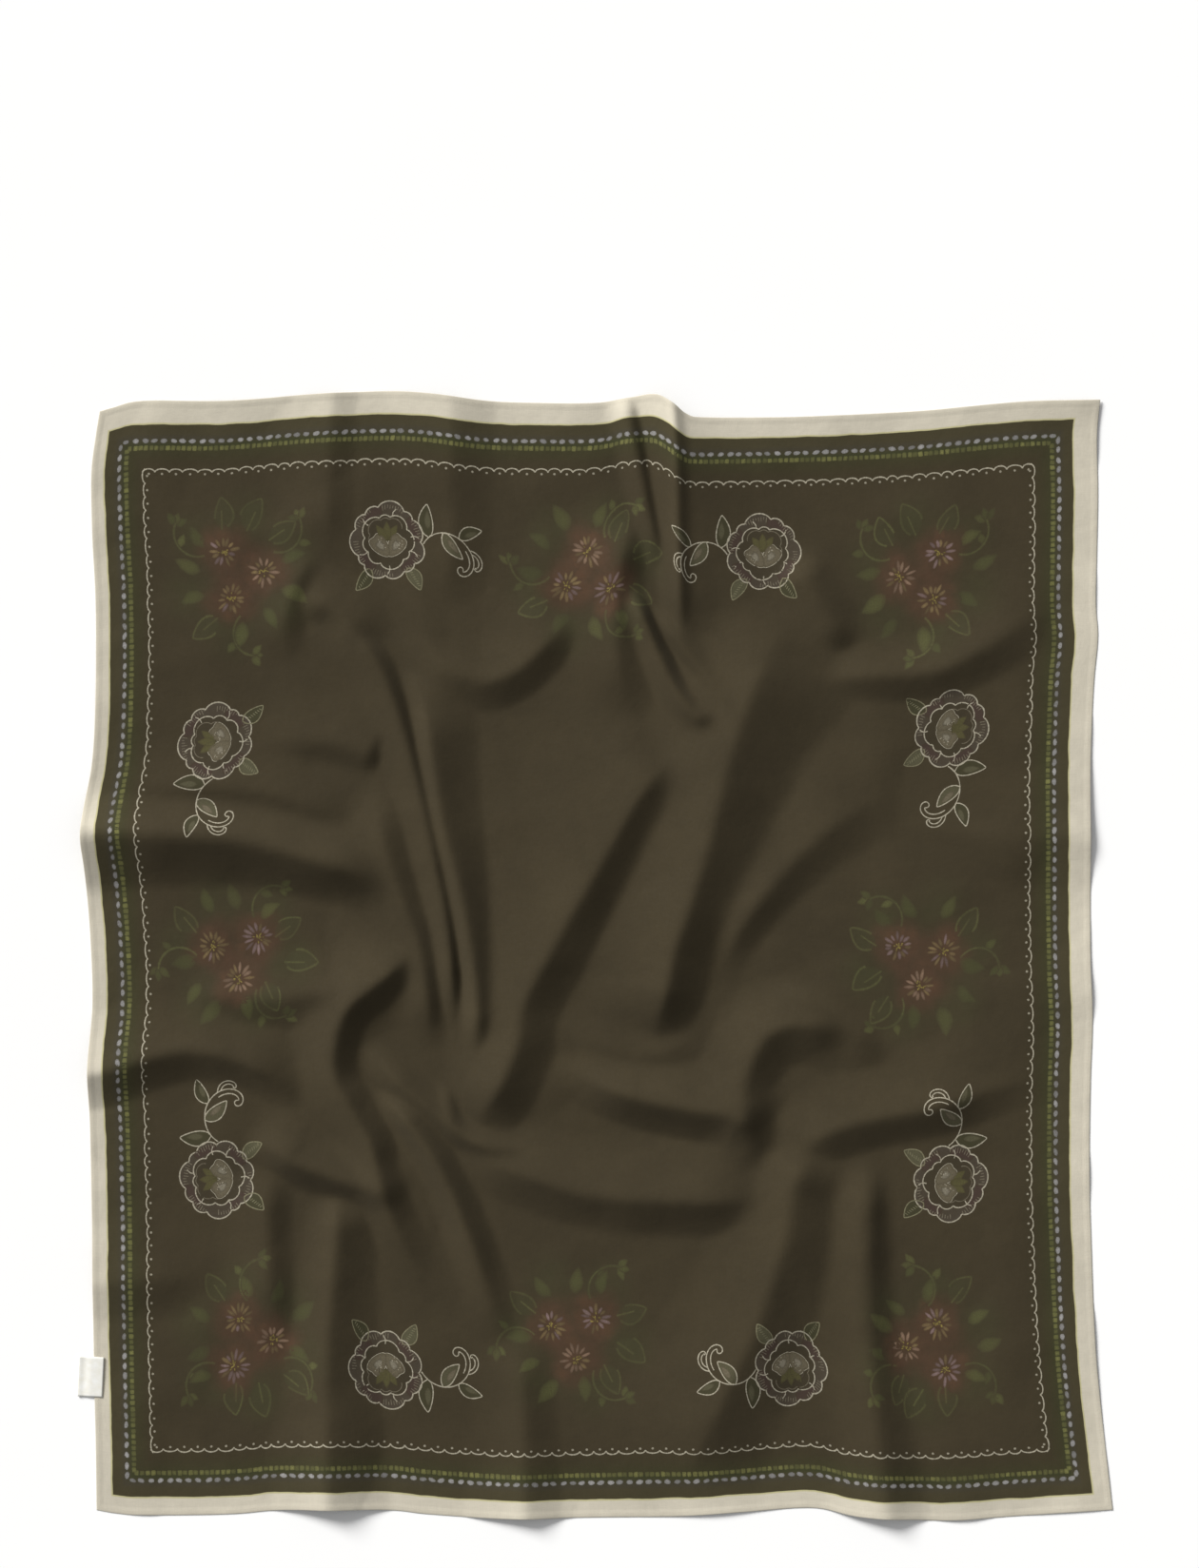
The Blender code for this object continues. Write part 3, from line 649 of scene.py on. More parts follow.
def leafy_at(flat):
    """How much of the posies' soft green ground there is at places of the cut."""
    left = np.ones(len(flat))
    for posy in POSIES:
        for angle in np.radians(LEAFY_ANGLES):
            spot = LEAFY_REACH * np.array([[np.cos(angle), np.sin(angle)]])
            off = flat - (posy.u, posy.v) - turned(spot, posy.right, posy.up)[0]
            left *= 1 - 0.75 * (1 - ease(np.hypot(*off.T) / LEAFY_SIZE))
    return 1 - left


def turned(points, right, up):
    """Points of a drawing whose right and up point these ways on the cut."""
    return np.asarray(points, float) @ np.array([right, up], float)


class Marks:
    """Flat marks of the print, drawn on the cut and carried onto the lying cloth as one piece."""

    def __init__(self, seed, lift):
        self.flat, self.lift, self.ink, self.cover, self.faces = [], [], [], [], []
        self.count = 0
        self.draw = np.random.default_rng(seed)
        self.base = lift

    def add(self, flat, faces, ink, cover, layer):
        """Each mark lies a hair above the last, and each layer of marks above the one before."""
        self.flat.append(flat)
        self.faces.append(np.asarray(faces) + self.count)
        lift = self.base + LAYER_LIFT * (layer + (len(self.flat) % MARK_STEPS) / MARK_STEPS)
        self.lift.append(np.full(len(flat), lift))
        self.ink.append(np.broadcast_to(display(ink), (len(flat), 3)) if np.ndim(ink) == 1 else ink)
        self.cover.append(np.broadcast_to(cover, len(flat)))
        self.count += len(flat)

    def line(self, points, ink, width=LINE_WIDTH, cover=1.0, closed=False, soft=False):
        """A line through points close together, as if drawn by hand; it breaks at sharp corners."""
        points = evenly(np.asarray(points, float), LINE_STEP, closed)
        way = unit(np.diff(points, axis=0))
        corners = np.flatnonzero((way[1:] * way[:-1]).sum(axis=1) < SHARP_TURN) + 1
        for start, end in zip([0, *corners], [*corners, len(points) - 1]):
            self.stroke(points[start:end + 1], ink, width, cover, soft)

    def stroke(self, points, ink, width, cover, soft):
        """A smooth stretch of a line, of uneven width and ink; a soft one fades to its sides."""
        way = unit(np.gradient(points, axis=0))
        across = left_of(way)
        half = width / 2 * (1 + UNEVEN_WIDTH * self.draw.uniform(-1, 1, len(points)))
        strength = cover * (1 - 0.25 * self.draw.uniform(0, 1, len(points)))
        rows = ((-1, 0), (-0.35, 1), (0.35, 1), (1, 0)) if soft else ((-1, 1), (1, 1))
        flat = np.concatenate([points + side * half[:, None] * across for side, _ in rows])
        start, n = np.arange(len(points) - 1), len(points)
        strip = np.column_stack([start, start + 1, start + 1 + n, start, start + 1 + n, start + n])
        faces = np.concatenate([strip + row * n for row in range(len(rows) - 1)]).reshape(-1, 3)
        self.add(flat, faces, ink, np.concatenate([share * strength for _, share in rows]), 2)

    def patch(self, outline, ink, cover=1.0, rim_cover=None, layer=0, fade=8.0, step=3.0):
        """A filled shape; from its middle its cover fades, late or evenly, to that at its rim."""
        outline = np.asarray(outline, float)
        middle = outline.mean(axis=0)
        rings = max(1, int(np.ceil(np.hypot(*(outline - middle).T).max() / step)))
        shares = np.arange(1, rings + 1) / rings
        flat = np.concatenate(
            [[middle]] + [middle + share * (outline - middle) for share in shares])
        n = len(outline)
        here = np.arange(n)
        after = (here + 1) % n
        fan = np.column_stack([0 * here, 1 + here, 1 + after])
        bands = [np.concatenate([np.column_stack([here, here + n, after + n]),
                                 np.column_stack([here, after + n, after])]) + 1 + ring * n
                 for ring in range(rings - 1)]
        rim_cover = cover if rim_cover is None else rim_cover
        strength = cover + (rim_cover - cover) * shares ** fade
        self.add(flat, np.concatenate([fan] + bands), ink,
                 np.concatenate([[cover], np.repeat(strength, n)]), layer)

    def piece(self, name, cloth, material):
        """The marks as a thin piece on the cloth, shaded as the cloth under them is."""
        flat = np.clip(np.concatenate(self.flat), 0, (CUT_WIDTH, CUT_LENGTH))
        places, normals = cloth.at(flat, np.concatenate(self.lift)[:, None])
        faces = facing_up(np.concatenate(self.faces), flat)
        piece = mesh_piece(name, places, faces, material)
        piece.data.normals_split_custom_set_from_vertices(normals.tolist())
        piece.visible_shadow = piece.visible_diffuse = False    # ink has no thickness to shade with
        note_print(piece, flat)
        ink = np.concatenate(self.ink)
        note(piece, "ink", np.column_stack([ink, np.ones(len(ink))]))
        note(piece, "cover", np.concatenate(self.cover))
        return piece


def facing_up(faces, flat):
    """The same triangles, each with its corners counter-clockwise on the cut."""
    a, b, c = (flat[faces[:, corner]] for corner in range(3))
    (bx, by), (cx, cy) = (b - a).T, (c - a).T
    return np.where((bx * cy - by * cx > 0)[:, None], faces, faces[:, ::-1])


def evenly(points, step, closed=False):
    """Places at about even steps along a line through points."""
    if closed:
        points = np.vstack([points, points[:1]])
    run = run_length(points)
    count = max(2, int(round(run[-1] / step)) + 1)
    place = np.linspace(0, run[-1], count)
    return np.column_stack([np.interp(place, run, line) for line in points.T])


def ground_corners(inset):
    """Corners of the dark ground, or of a line that runs inside it at the row's distances."""
    left, bottom, right, top = inset[:4]
    low, high = GROUND_BOTTOM + bottom, CUT_LENGTH - top
    return np.array([
        (GROUND_LEFT[0] + left, low), (CUT_WIDTH - GROUND_RIGHT[0] - right, low),
        (CUT_WIDTH - GROUND_RIGHT[1] - right, high - GROUND_TOP[1]),
        (GROUND_LEFT[1] + left, high - GROUND_TOP[0])])


def row_places(row, draw, jitter):
    """Places of the repeats along the four sides of a row, each with the way that the row runs."""
    corners = ground_corners(row)
    for start, end in zip(corners, np.roll(corners, -1, axis=0)):
        length = np.hypot(*(end - start))
        way = (end - start) / length
        count = int(round(length / row.pitch))
        shares = (np.arange(count) + 0.5 + jitter * draw.uniform(-1, 1, count)) / count
        for share in shares:
            yield start + share * (end - start), way


def grain(draw, length, width, square=False):
    """Outline of one uneven dab along x: a rounded grain, or a blunt square."""
    angle = (np.arange(8) + 0.5 * square) * np.pi / 4
    x, y = np.cos(angle), np.sin(angle)
    if square:
        x, y = np.sign(x) * abs(x) ** 0.45, np.sign(y) * abs(y) ** 0.45
    uneven = 1 + 0.13 * draw.uniform(-1, 1, (8, 2))
    return np.column_stack([length / 2 * x, width / 2 * y]) * uneven


def shade(ink, draw, spread):
    """A lighter or darker version of an ink."""
    return tuple(np.array(ink) * (1 + spread * draw.uniform(-1, 1)))


def draw_borders(marks):
    """The rows round the print: lavender grains, green squares, and cream scallops with dots."""
    draw = marks.draw
    for place, way in row_places(GRAINS, draw, 0.08):
        tilt = draw.uniform(-0.32, 0.32)
        along = way * np.cos(tilt) + left_of(way) * np.sin(tilt)
        ink = shade(LAVENDER, draw, 0.13)
        outline = grain(draw, draw.uniform(6.2, 7.6), draw.uniform(3.9, 4.8))
        marks.patch(place + turned(outline, along, left_of(along)), ink,
                    draw.uniform(0.8, 1.0), 0.5)
    for place, way in row_places(SQUARES, draw, 0.08):
        ink = shade(SQUARE_GREEN, draw, 0.18)
        outline = grain(draw, draw.uniform(4.0, 4.8), draw.uniform(4.1, 5.0), square=True)
        marks.patch(place + turned(outline, way, left_of(way)), ink, draw.uniform(0.75, 1.0), 0.5)
    corners = ground_corners(SCALLOPS)
    for start, end, rise in zip(corners, np.roll(corners, -1, axis=0), SCALLOP_RISES):
        draw_scallops(marks, start, end, rise)


def draw_scallops(marks, start, end, rise):
    """One side's scallops: shallow arches that bulge outward, with a dot inside each."""
    draw = marks.draw
    length = np.hypot(*(end - start))
    way = (end - start) / length
    outward = -left_of(way)
    count = int(round(length / SCALLOPS.pitch))
    cusps = (np.arange(count + 1) + 0.13 * draw.uniform(-1, 1, count + 1)) / count
    cusps[[0, -1]] = 0, 1
    share = np.linspace(0, 1, 9)
    for low, high in zip(cusps, cusps[1:]):
        along = (low + (high - low) * share) * length
        lift = rise * (draw.uniform(0.78, 1.18) * np.sin(np.pi * share) ** 0.55 - 1)
        marks.line(start + along[:, None] * way + lift[:, None] * outward, CREAM, 1.2)
        foot = start + high * length * way - rise * outward
        marks.line([foot + 0.3 * outward, foot - 0.6 * outward], CREAM, 1.5)
        dot = start + (low + high) / 2 * length * way - (rise + SCALLOP_DOT) * outward
        marks.patch(dot + grain(draw, 2.6, 2.3), CREAM, 0.8, 0.5)


def lobed(count, radius, bulge, power=0.7, turn=0.0):
    """Closed outline of lobes of unequal width round a middle: wide ones bulge more."""
    number = np.arange(count)
    cusps = turn + 2 * np.pi * (number + 0.24 * np.sin(2.4 * number)) / count
    line = []
    for start, end in zip(cusps, [*cusps[1:], cusps[0] + 2 * np.pi]):
        share = np.linspace(0, 1, 12, endpoint=False)
        angle = start + share * (end - start)
        reach = radius * (1 + bulge * (end - start) * np.sin(np.pi * share) ** power)
        line.append(np.column_stack([reach * np.cos(angle), reach * np.sin(angle)]))
    return np.concatenate(line)


def leaf(base, tip, width, lean=0.0):
    """Outline of a leaf from its base to its tip, fullest before its middle; it may lean."""
    base, tip = np.array(base, float), np.array(tip, float)
    share = np.linspace(0, 1, 13)
    axis = tip - base
    side = left_of(axis) / np.hypot(*axis)
    half = width / 2 * np.sin(np.pi * share ** 0.8) ** 0.8
    spine = base + share[:, None] * axis + (lean * np.sin(np.pi * share))[:, None] * side
    return np.concatenate([spine + half[:, None] * side, (spine - half[:, None] * side)[-2:0:-1]])


def petal(base, tip, width, notch=0.0):
    """Outline of a petal: narrow at its base, round at its tip, where a notch may draw it in."""
    base, tip = np.array(base, float), np.array(tip, float)
    angle = np.linspace(-np.pi, np.pi, 33)[:-1]
    axis = tip - base
    side = left_of(axis) / np.hypot(*axis)
    share = (1 + np.cos(angle)) / 2 - notch * np.exp(-(angle / 0.45) ** 2)
    half = width / 2 * np.sin(angle) * (0.6 + 0.5 * share)
    return base + share[:, None] * axis + half[:, None] * side


def tendril(start, heading, sweep, curl, length):
    """A stem that leaves on a heading, sweeps round by so much, and curls up at its end."""
    share = np.linspace(0, 1, 60)
    angle = np.radians(heading + sweep * share + curl * share ** 9)
    steps = length / len(share) * np.column_stack([np.cos(angle), np.sin(angle)])
    return np.array(start, float) + np.cumsum(steps, axis=0)


def beside(points, gap):
    """The same line, moved sideways to its right by a gap."""
    way = unit(np.gradient(points, axis=0))
    return points - gap * left_of(way)


def growing(stem, share, off, length=0.0):
    """What grows from a stem: its foot, tip and heading, so many degrees off the stem's."""
    here = int(share * (len(stem) - 2))
    way = stem[here + 1] - stem[here]
    heading = np.arctan2(way[1], way[0]) + np.radians(off)
    return stem[here], stem[here] + length * spoke(heading)[0], np.degrees(heading)


def draw_rose(marks, rose):
    """A rose in cream outlines, with an olive bud, a scroll on one side and two leaves below."""
    draw = marks.draw

    def place(points):
        return (rose.u, rose.v) + turned(points, rose.scroll, (-rose.leaf[0], -rose.leaf[1]))

    def line(points, width=LINE_WIDTH, ink=CREAM, closed=False, cover=1.0):
        marks.line(place(points), ink, width, cover, closed)

    outer = lobed(RIM_PETALS, RIM_REACH, PETAL_BULGE)
    inner = lobed(HEART_PETALS, HEART_REACH, PETAL_BULGE, turn=0.5)
    marks.patch(place(outer), ROSE_SHADE, 0.5, 0.75)
    for angle in 2 * np.pi * np.arange(0, RIM_PETALS, 3) / RIM_PETALS:      # flushed petals
        ways = [spoke(angle + off)[0] for off in np.linspace(0, 0.8, 9)]
        flush = [FLUSH[1] * way for way in ways] + [FLUSH[0] * way for way in ways[::-1]]
        marks.patch(place(flush), ROSE_FLUSH, 0.8, 0.3, layer=1)
    marks.patch(place(inner), ROSE_DEPTH, 0.85, 0.9, layer=1)
    line(outer, 1.2, closed=True)
    line(inner, closed=True)
    line(0.76 * inner[:45] + (0, 3), 0.7, ROSE_HATCH, cover=0.6)
    for angle in 2 * np.pi * np.arange(0.2, RIM_PETALS, 2) / RIM_PETALS:    # creases run inward
        way, across = spoke(angle)
        line(smooth_route([out * way + aside * across for out, aside in CREASE]), 0.95)
    for number in range(HATCH_STROKES):     # short strokes inside the rim, in groups
        if number % HATCH_GROUP < HATCH_SHOWN:
            way, _ = spoke(2 * np.pi * number / HATCH_STROKES)
            line([way * HATCH_START, way * draw.uniform(*HATCH_ENDS)], 0.6, ROSE_HATCH, cover=0.75)
    draw_bud(marks, place)
    draw_scroll(marks, place, line)


def draw_bud(marks, place):
    """The rose's heart: an olive bud of three points behind two bright, hatched petals."""
    draw = marks.draw
    for angle in BUD_ANGLES:
        point = leaf((0, 0), BUD_LENGTH * spoke(np.radians(angle))[0], BUD_WIDTH)
        marks.patch(place(point), BUD_OLIVE, 0.85, 0.4, layer=3)
    foot, length, width = np.array(HEART_FOOT), HEART_LENGTH, HEART_WIDTH
    for angle in (90 + HEART_SPREAD, 90 - HEART_SPREAD):
        way, across = spoke(np.radians(angle))
        shape = petal(foot, foot + length * way, width, 0.12)
        middle = shape.mean(axis=0)
        marks.patch(place(shape), BONE, 0.68, 0.35, layer=3)
        marks.patch(place(middle + 0.45 * (shape - middle)), CREAM, 0.42, 0.1, layer=4)
        marks.line(place(shape), CREAM, 1.0, closed=True)
        marks.line(place([foot, foot + 0.85 * length * way]), ROSE_HATCH, 0.8, 0.85)
        for share in np.linspace(0.2, 0.8, 9):
            here = foot + share * length * way
            reach = 0.2 * width * draw.uniform(0.8, 1.1)
            marks.line(place([here, here + reach * across]), ROSE_HATCH, 0.6)
        for _ in range(9):
            spot = foot + way * length * draw.uniform(0.3, 0.8)
            spot = spot - across * draw.uniform(1, 0.3 * width)
            marks.patch(place(grain(draw, 0.9, 0.9) + spot), CREAM, 0.8, layer=5)


def draw_scroll(marks, place, line):
    """The double-lined scroll with leaves on its two sides, and two leaves under the head."""
    stem = tendril(*STEM)
    foot, _, heading = growing(stem, BRANCH_SHARE, BRANCH_OFF)
    branch = tendril(foot, heading, *BRANCH)
    for number in range(SCROLL_LEAVES):
        side = 1 - 2 * (number % 2)
        share = SCROLL_LEAF_SHARES[0] + SCROLL_LEAF_SHARES[1] * number
        length = SCROLL_LEAF_LENGTHS[0] - SCROLL_LEAF_LENGTHS[1] * number
        base, tip, _ = growing(stem, share, side * SCROLL_LEAF_OFF, length)
        shape = leaf(base, tip, 0.45 * length, 2 * side)
        light = leaf(base + 0.25 * (tip - base), base + 0.8 * (tip - base), 0.2 * length)
        ink, glow = ((ROSE_MOSS, ROSE_LEAF), (ROSE_LEAF, BONE))[number % 2]
        marks.patch(place(shape), ink, 0.65, 0.4)
        marks.patch(place(light), glow, 0.7, 0.3, layer=1)
        line(shape, 1.0, closed=True)
    line(stem)
    line(branch)
    line(beside(stem, 4.2)[30:50])
    line(beside(branch, 3.2)[4:48])
    for angle, ink in ((270 - LOWER_SPREAD, ROSE_MOSS), (270 + LOWER_SPREAD, ROSE_LEAF)):
        way, across = spoke(np.radians(angle))
        shape = leaf(LOWER_FOOT * way, (LOWER_FOOT + LOWER_LENGTH) * way, LOWER_WIDTH, 2)
        marks.patch(place(shape), ink, 0.8, 0.4)
        line(shape, 1.0, ROSE_LEAF_LINE, closed=True)
        for share in np.linspace(0.2, 0.8, 7):
            here = (LOWER_FOOT + share * LOWER_LENGTH) * way
            line([here, here + 2.6 * across + 1.2 * way], 0.6, ROSE_LEAF_LINE)


def draw_posy(leaves, flowers, posy):
    """Three small daisies on rust-coloured ground, with faint, brushed-on leaves and vines."""
    def place(points):
        return (posy.u, posy.v) + turned(points, posy.right, posy.up)

    def filled(outline):
        leaves.patch(place(outline + draw.uniform(-0.3, 0.3, outline.shape)),
                     shade(LEAF_FILL, draw, 0.12), draw.uniform(0.7, 1.0), 0.1, fade=3.0, step=2.0)

    draw = leaves.draw
    for item in POSY_LEAVES:
        base = (POSY_REACH + draw.uniform(-5, 5)) * spoke(np.radians(item.angle))[0]
        tip = base + item.length * spoke(np.radians(item.angle + draw.uniform(-24, 24)))[0]
        outline = leaf(base, tip, item.width, draw.uniform(-3, 3))
        if item.filled:
            filled(outline)
        else:
            leaves.patch(place(outline), LEAFY, 0.5, 0.2)
            brushed(leaves, place(outline[4:]))
            brushed(leaves, place([base, base + 0.6 * (tip - base)]))
    for number in range(VINES):
        angle, bend = VINE_START + 360 * number / VINES, 1 - 2 * (number % 2)
        start = 0.9 * POSY_REACH * spoke(np.radians(angle))[0]
        vine = tendril(start, angle - VINE_OFF * bend, VINE_SWEEP * bend, 0, VINE_LENGTH)
        brushed(leaves, place(vine))
        for share, turn in VINE_LEAVES:
            base, tip, _ = growing(vine, share, turn, draw.uniform(11, 15))
            filled(leaf(base, tip, draw.uniform(7, 9)))
    for centre, inks in zip(DAISIES, PETALS):
        draw_daisy(leaves, flowers, place([centre])[0], inks)


def brushed(marks, points):
    """A faint, soft stroke whose ink comes and goes along it."""
    draw = marks.draw
    marks.line(points, shade(LEAF_LINE, draw, 0.12), 3.0, draw.uniform(0.35, 0.5), soft=True)
    begin = int(draw.uniform(0.0, 0.5) * len(points))
    end = begin + max(2, int(draw.uniform(0.3, 0.5) * len(points)))
    marks.line(points[begin:end], LEAF_LINE, 2.2, draw.uniform(0.4, 0.7), soft=True)


def draw_daisy(leaves, flowers, centre, inks):
    """One daisy: separate strokes for its petals, a heart of dashes, and redder blots round it."""
    draw = flowers.draw
    petals = int(draw.integers(13, 16))
    turn = draw.uniform(0, 2 * np.pi)
    for _ in range(BLOTS):
        angle, reach, size = draw.uniform(0, 2 * np.pi), draw.uniform(8, 19), draw.uniform(6, 12)
        blot = lobed(4, size, 0.15, 1.0, angle)[::3]
        leaves.patch(centre + reach * spoke(angle)[0] + blot, RUST_RIM,
                     draw.uniform(0.12, 0.35), 0.0, fade=1.3)
    for number in range(petals):
        angle = turn + 2 * np.pi * (number + draw.uniform(-0.2, 0.2)) / petals
        way, across = spoke(angle)
        start = draw.uniform(4.2, 6.2)
        length = draw.uniform(0.8, 1.15) * DAISY_RADIUS - start
        outline = grain(draw, length, draw.uniform(2.9, 3.9)) + (start + length / 2, 0)
        ink = inks[0] if draw.random() < 0.7 else inks[1]
        flowers.patch(centre + turned(outline, way, across), shade(ink, draw, 0.16),
                      draw.uniform(0.65, 1.0), 0.25, fade=2.0, step=1.5)
    for _ in range(DAISY_DASHES):
        angle, reach = draw.uniform(0, 2 * np.pi), draw.uniform(0.3, 5.2)
        way, across = spoke(angle)
        dash = turned(grain(draw, 2.3, 1.2), way, across)
        flowers.patch(centre + reach * way + dash, shade(OCHRE, draw, 0.2), 0.85, layer=1)


class Nodes:
    """A new material's nodes; a value given for a socket is another socket or a constant."""

    def __init__(self, name):
        self.material = bpy.data.materials.new(name)
        self.material.use_nodes = True
        self.tree = self.material.node_tree

    def finish(self, values):
        """Give the shader's sockets their values; returns the material."""
        shader = self.tree.nodes["Principled BSDF"]
        for socket, value in values.items():
            self.put(shader.inputs[socket], value)
        return self.material

    def put(self, socket, value):
        if isinstance(value, bpy.types.NodeSocket):
            self.tree.links.new(value, socket)
        else:
            socket.default_value = value

    def add(self, kind, inputs, **settings):
        made = self.tree.nodes.new("ShaderNode" + kind)
        for name, value in settings.items():
            setattr(made, name, value)
        for socket, value in inputs.items():
            self.put(made.inputs[socket], value)
        return made

    def math(self, operation, *values):
        return self.add("Math", dict(enumerate(values)), operation=operation).outputs[0]

    def mix(self, share, first, second):
        made = self.add("Mix", {0: share, 6: first, 7: second}, data_type="RGBA")
        return made.outputs[2]

    def read(self, name, output="Fac"):
        return self.add("Attribute", {}, attribute_name=name).outputs[output]

    def noise(self, place, scale, detail=2.0):
        values = {"Vector": place, "Scale": scale, "Detail": detail}
        return self.add("TexNoise", values).outputs["Fac"]

    def spread(self, value, low, high):
        """A noise's middle range spread over low to high."""
        return self.add("MapRange", {0: value, 1: 0.3, 2: 0.7, 3: low, 4: high}).outputs[0]

    def bump(self, height, strength, distance):
        values = {"Strength": strength, "Distance": distance, "Height": height}
        return self.add("Bump", values).outputs[0]

    def stretched(self, place, x, y):
        return self.add("VectorMath", {0: place, 1: (x, y, 1)}, operation="MULTIPLY").outputs[0]

    def ramp(self, value, stops):
        """Colours at values that rise in steps of any size."""
        low, high = stops[0][0], stops[-1][0]
        share = self.math("DIVIDE", self.math("SUBTRACT", value, low), high - low)
        made = self.add("ValToRGB", {0: share})
        elements = made.color_ramp.elements
        elements[0].color, elements[-1].color = solid(stops[0][1]), solid(stops[-1][1])
        for place, colour in stops[1:-1]:
            elements.new((place - low) / (high - low)).color = solid(colour)
        return made.outputs[0]

    def scaled(self, colour, factor):
        return self.add("VectorMath", {0: colour, "Scale": factor}, operation="SCALE").outputs[0]


def solid(colour):
    """An opaque colour for a socket."""
    return (*display(colour), 1.0)


def ground_inset(nodes, flat):
    """Distance in from the edge of the dark ground at places of the cut; it wavers a little."""
    place = nodes.add("SeparateXYZ", {0: flat})
    u, v = place.outputs[0], place.outputs[1]

    def sloped(value, first, last, run):
        return nodes.math("MULTIPLY_ADD", value, (last - first) / run, first)

    sides = (nodes.math("SUBTRACT", u, sloped(v, *GROUND_LEFT, CUT_LENGTH)),
             nodes.math("SUBTRACT", nodes.math("SUBTRACT", CUT_WIDTH, u),
                        sloped(v, *GROUND_RIGHT, CUT_LENGTH)),
             nodes.math("SUBTRACT", v, GROUND_BOTTOM),
             nodes.math("SUBTRACT", nodes.math("SUBTRACT", CUT_LENGTH, v),
                        sloped(u, *GROUND_TOP, CUT_WIDTH)))
    nearest = sides[0]
    for side in sides[1:]:
        nearest = nodes.math("MINIMUM", nearest, side)
    return nodes.math("ADD", nearest, nodes.spread(nodes.noise(flat, 0.035), -0.6, 0.6))


def ground_colour(nodes, flat):
    """The printed ground: off-white edge, bands of dark shades, and the posies' soft grounds."""
    inset = ground_inset(nodes, flat)
    bands = nodes.ramp(inset, [(-5.0, EDGE_CLOTH), (-1.9, EDGE_CLOTH), (-1.0, EDGE_TINT),
                               (-0.25, EDGE_TINT)]
                       + [(0.25 + distance, colour) for distance, colour in GROUND_BANDS])
    leafy = nodes.math("MULTIPLY", nodes.read("leafy"),
                       nodes.spread(nodes.noise(flat, 0.06), 0.5, 1.1))
    rust = nodes.math("MULTIPLY", nodes.read("rust"),
                      nodes.spread(nodes.noise(flat, 0.07, 3.0), 0.6, 1.0))
    colour = nodes.mix(nodes.math("MULTIPLY", leafy, 0.7), bands, solid(LEAFY))
    colour = nodes.mix(rust, colour, solid(RUST))
    mottled = nodes.math("ADD", nodes.spread(nodes.noise(flat, 0.012, 3.0), -0.07, 0.07),
                         nodes.spread(nodes.noise(flat, 0.07, 3.0), 0.97, 1.03))
    return nodes.scaled(colour, mottled)


def thread_tone(nodes, flat):
    """Light and dark of uneven threads that run along and across the cloth."""
    along = nodes.noise(nodes.stretched(flat, 1 / 0.7, 1 / 14.0), 1.0, 1.0)
    across = nodes.noise(nodes.stretched(flat, 1 / 14.0, 1 / 0.7), 1.0, 1.0)
    return nodes.math("MULTIPLY", nodes.math("ADD", along, across), 0.5)


def weave_height(nodes, flat, pitch):
    """Height of a plain weave: threads that pass over and under each other."""
    turn = 2 * np.pi / pitch
    place = nodes.add("SeparateXYZ", {0: nodes.stretched(flat, turn, turn)})
    waves = [nodes.math("SINE", place.outputs[axis]) for axis in (0, 1)]
    return nodes.math("MULTIPLY", *waves)


def cloth_relief(nodes, flat):
    """The normal of the cloth's surface with its weave, its uneven threads and fine puckers."""
    height = nodes.math("MULTIPLY_ADD", weave_height(nodes, flat, WEAVE_PITCH), 0.02,
                        nodes.math("MULTIPLY", thread_tone(nodes, flat), 0.12))
    height = nodes.math("MULTIPLY_ADD", nodes.noise(flat, 0.09, 3.0), 0.5, height)
    return nodes.bump(height, 0.6, MM)


def finish_cloth(nodes, flat, colour, roughness):
    """Give a fabric its colour with uneven threads, its relief and its soft sheen."""
    tone = nodes.spread(thread_tone(nodes, flat), 0.95, 1.05)
    return nodes.finish({
        "Base Color": nodes.scaled(colour, tone), "Normal": cloth_relief(nodes, flat),
        "Roughness": nodes.spread(nodes.noise(flat, 0.3), roughness - 0.05, roughness + 0.05),
        "Specular IOR Level": 0.2, "Sheen Weight": 0.05, "Sheen Roughness": 0.5})


def printed_material():
    """The printed cotton."""
    nodes = Nodes("printed_cotton")
    flat = nodes.read("flat", "Vector")
    colour = ground_colour(nodes, flat)
    pale = nodes.mix(0.35, colour, solid(UNDERSIDE))
    return finish_cloth(nodes, flat, nodes.mix(nodes.read("underside"), colour, pale), 0.85)


def ink_material():
    """The print's marks: ink that covers the ground unevenly, as if brushed or stitched on."""
    nodes = Nodes("print_ink")
    flat = nodes.read("flat", "Vector")
    broken = nodes.spread(nodes.noise(flat, 0.8, 2.0), 0.6, 1.15)
    cover = nodes.math("MULTIPLY", nodes.read("cover"), broken)
    cover = nodes.add("Clamp", {0: cover}).outputs[0]
    colour = nodes.mix(cover, ground_colour(nodes, flat), nodes.read("ink", "Color"))
    return finish_cloth(nodes, flat, colour, 0.8)


def thread_material(name, colour):
    """Sewing thread: two plies that wind round each other."""
    nodes = Nodes(name)
    place = nodes.add("TexCoord", {}).outputs["Object"]
    plies = nodes.noise(nodes.stretched(place, 900, 2600), 1.0, 1.0)
    plied = nodes.mix(plies, solid(colour), solid(0.93 * np.array(colour)))
    return nodes.finish({
        "Base Color": nodes.scaled(plied, nodes.spread(plies, 0.85, 1.08)),
        "Normal": nodes.bump(plies, 0.5, 0.05 * MM), "Roughness": 0.55, "Sheen Weight": 0.1})


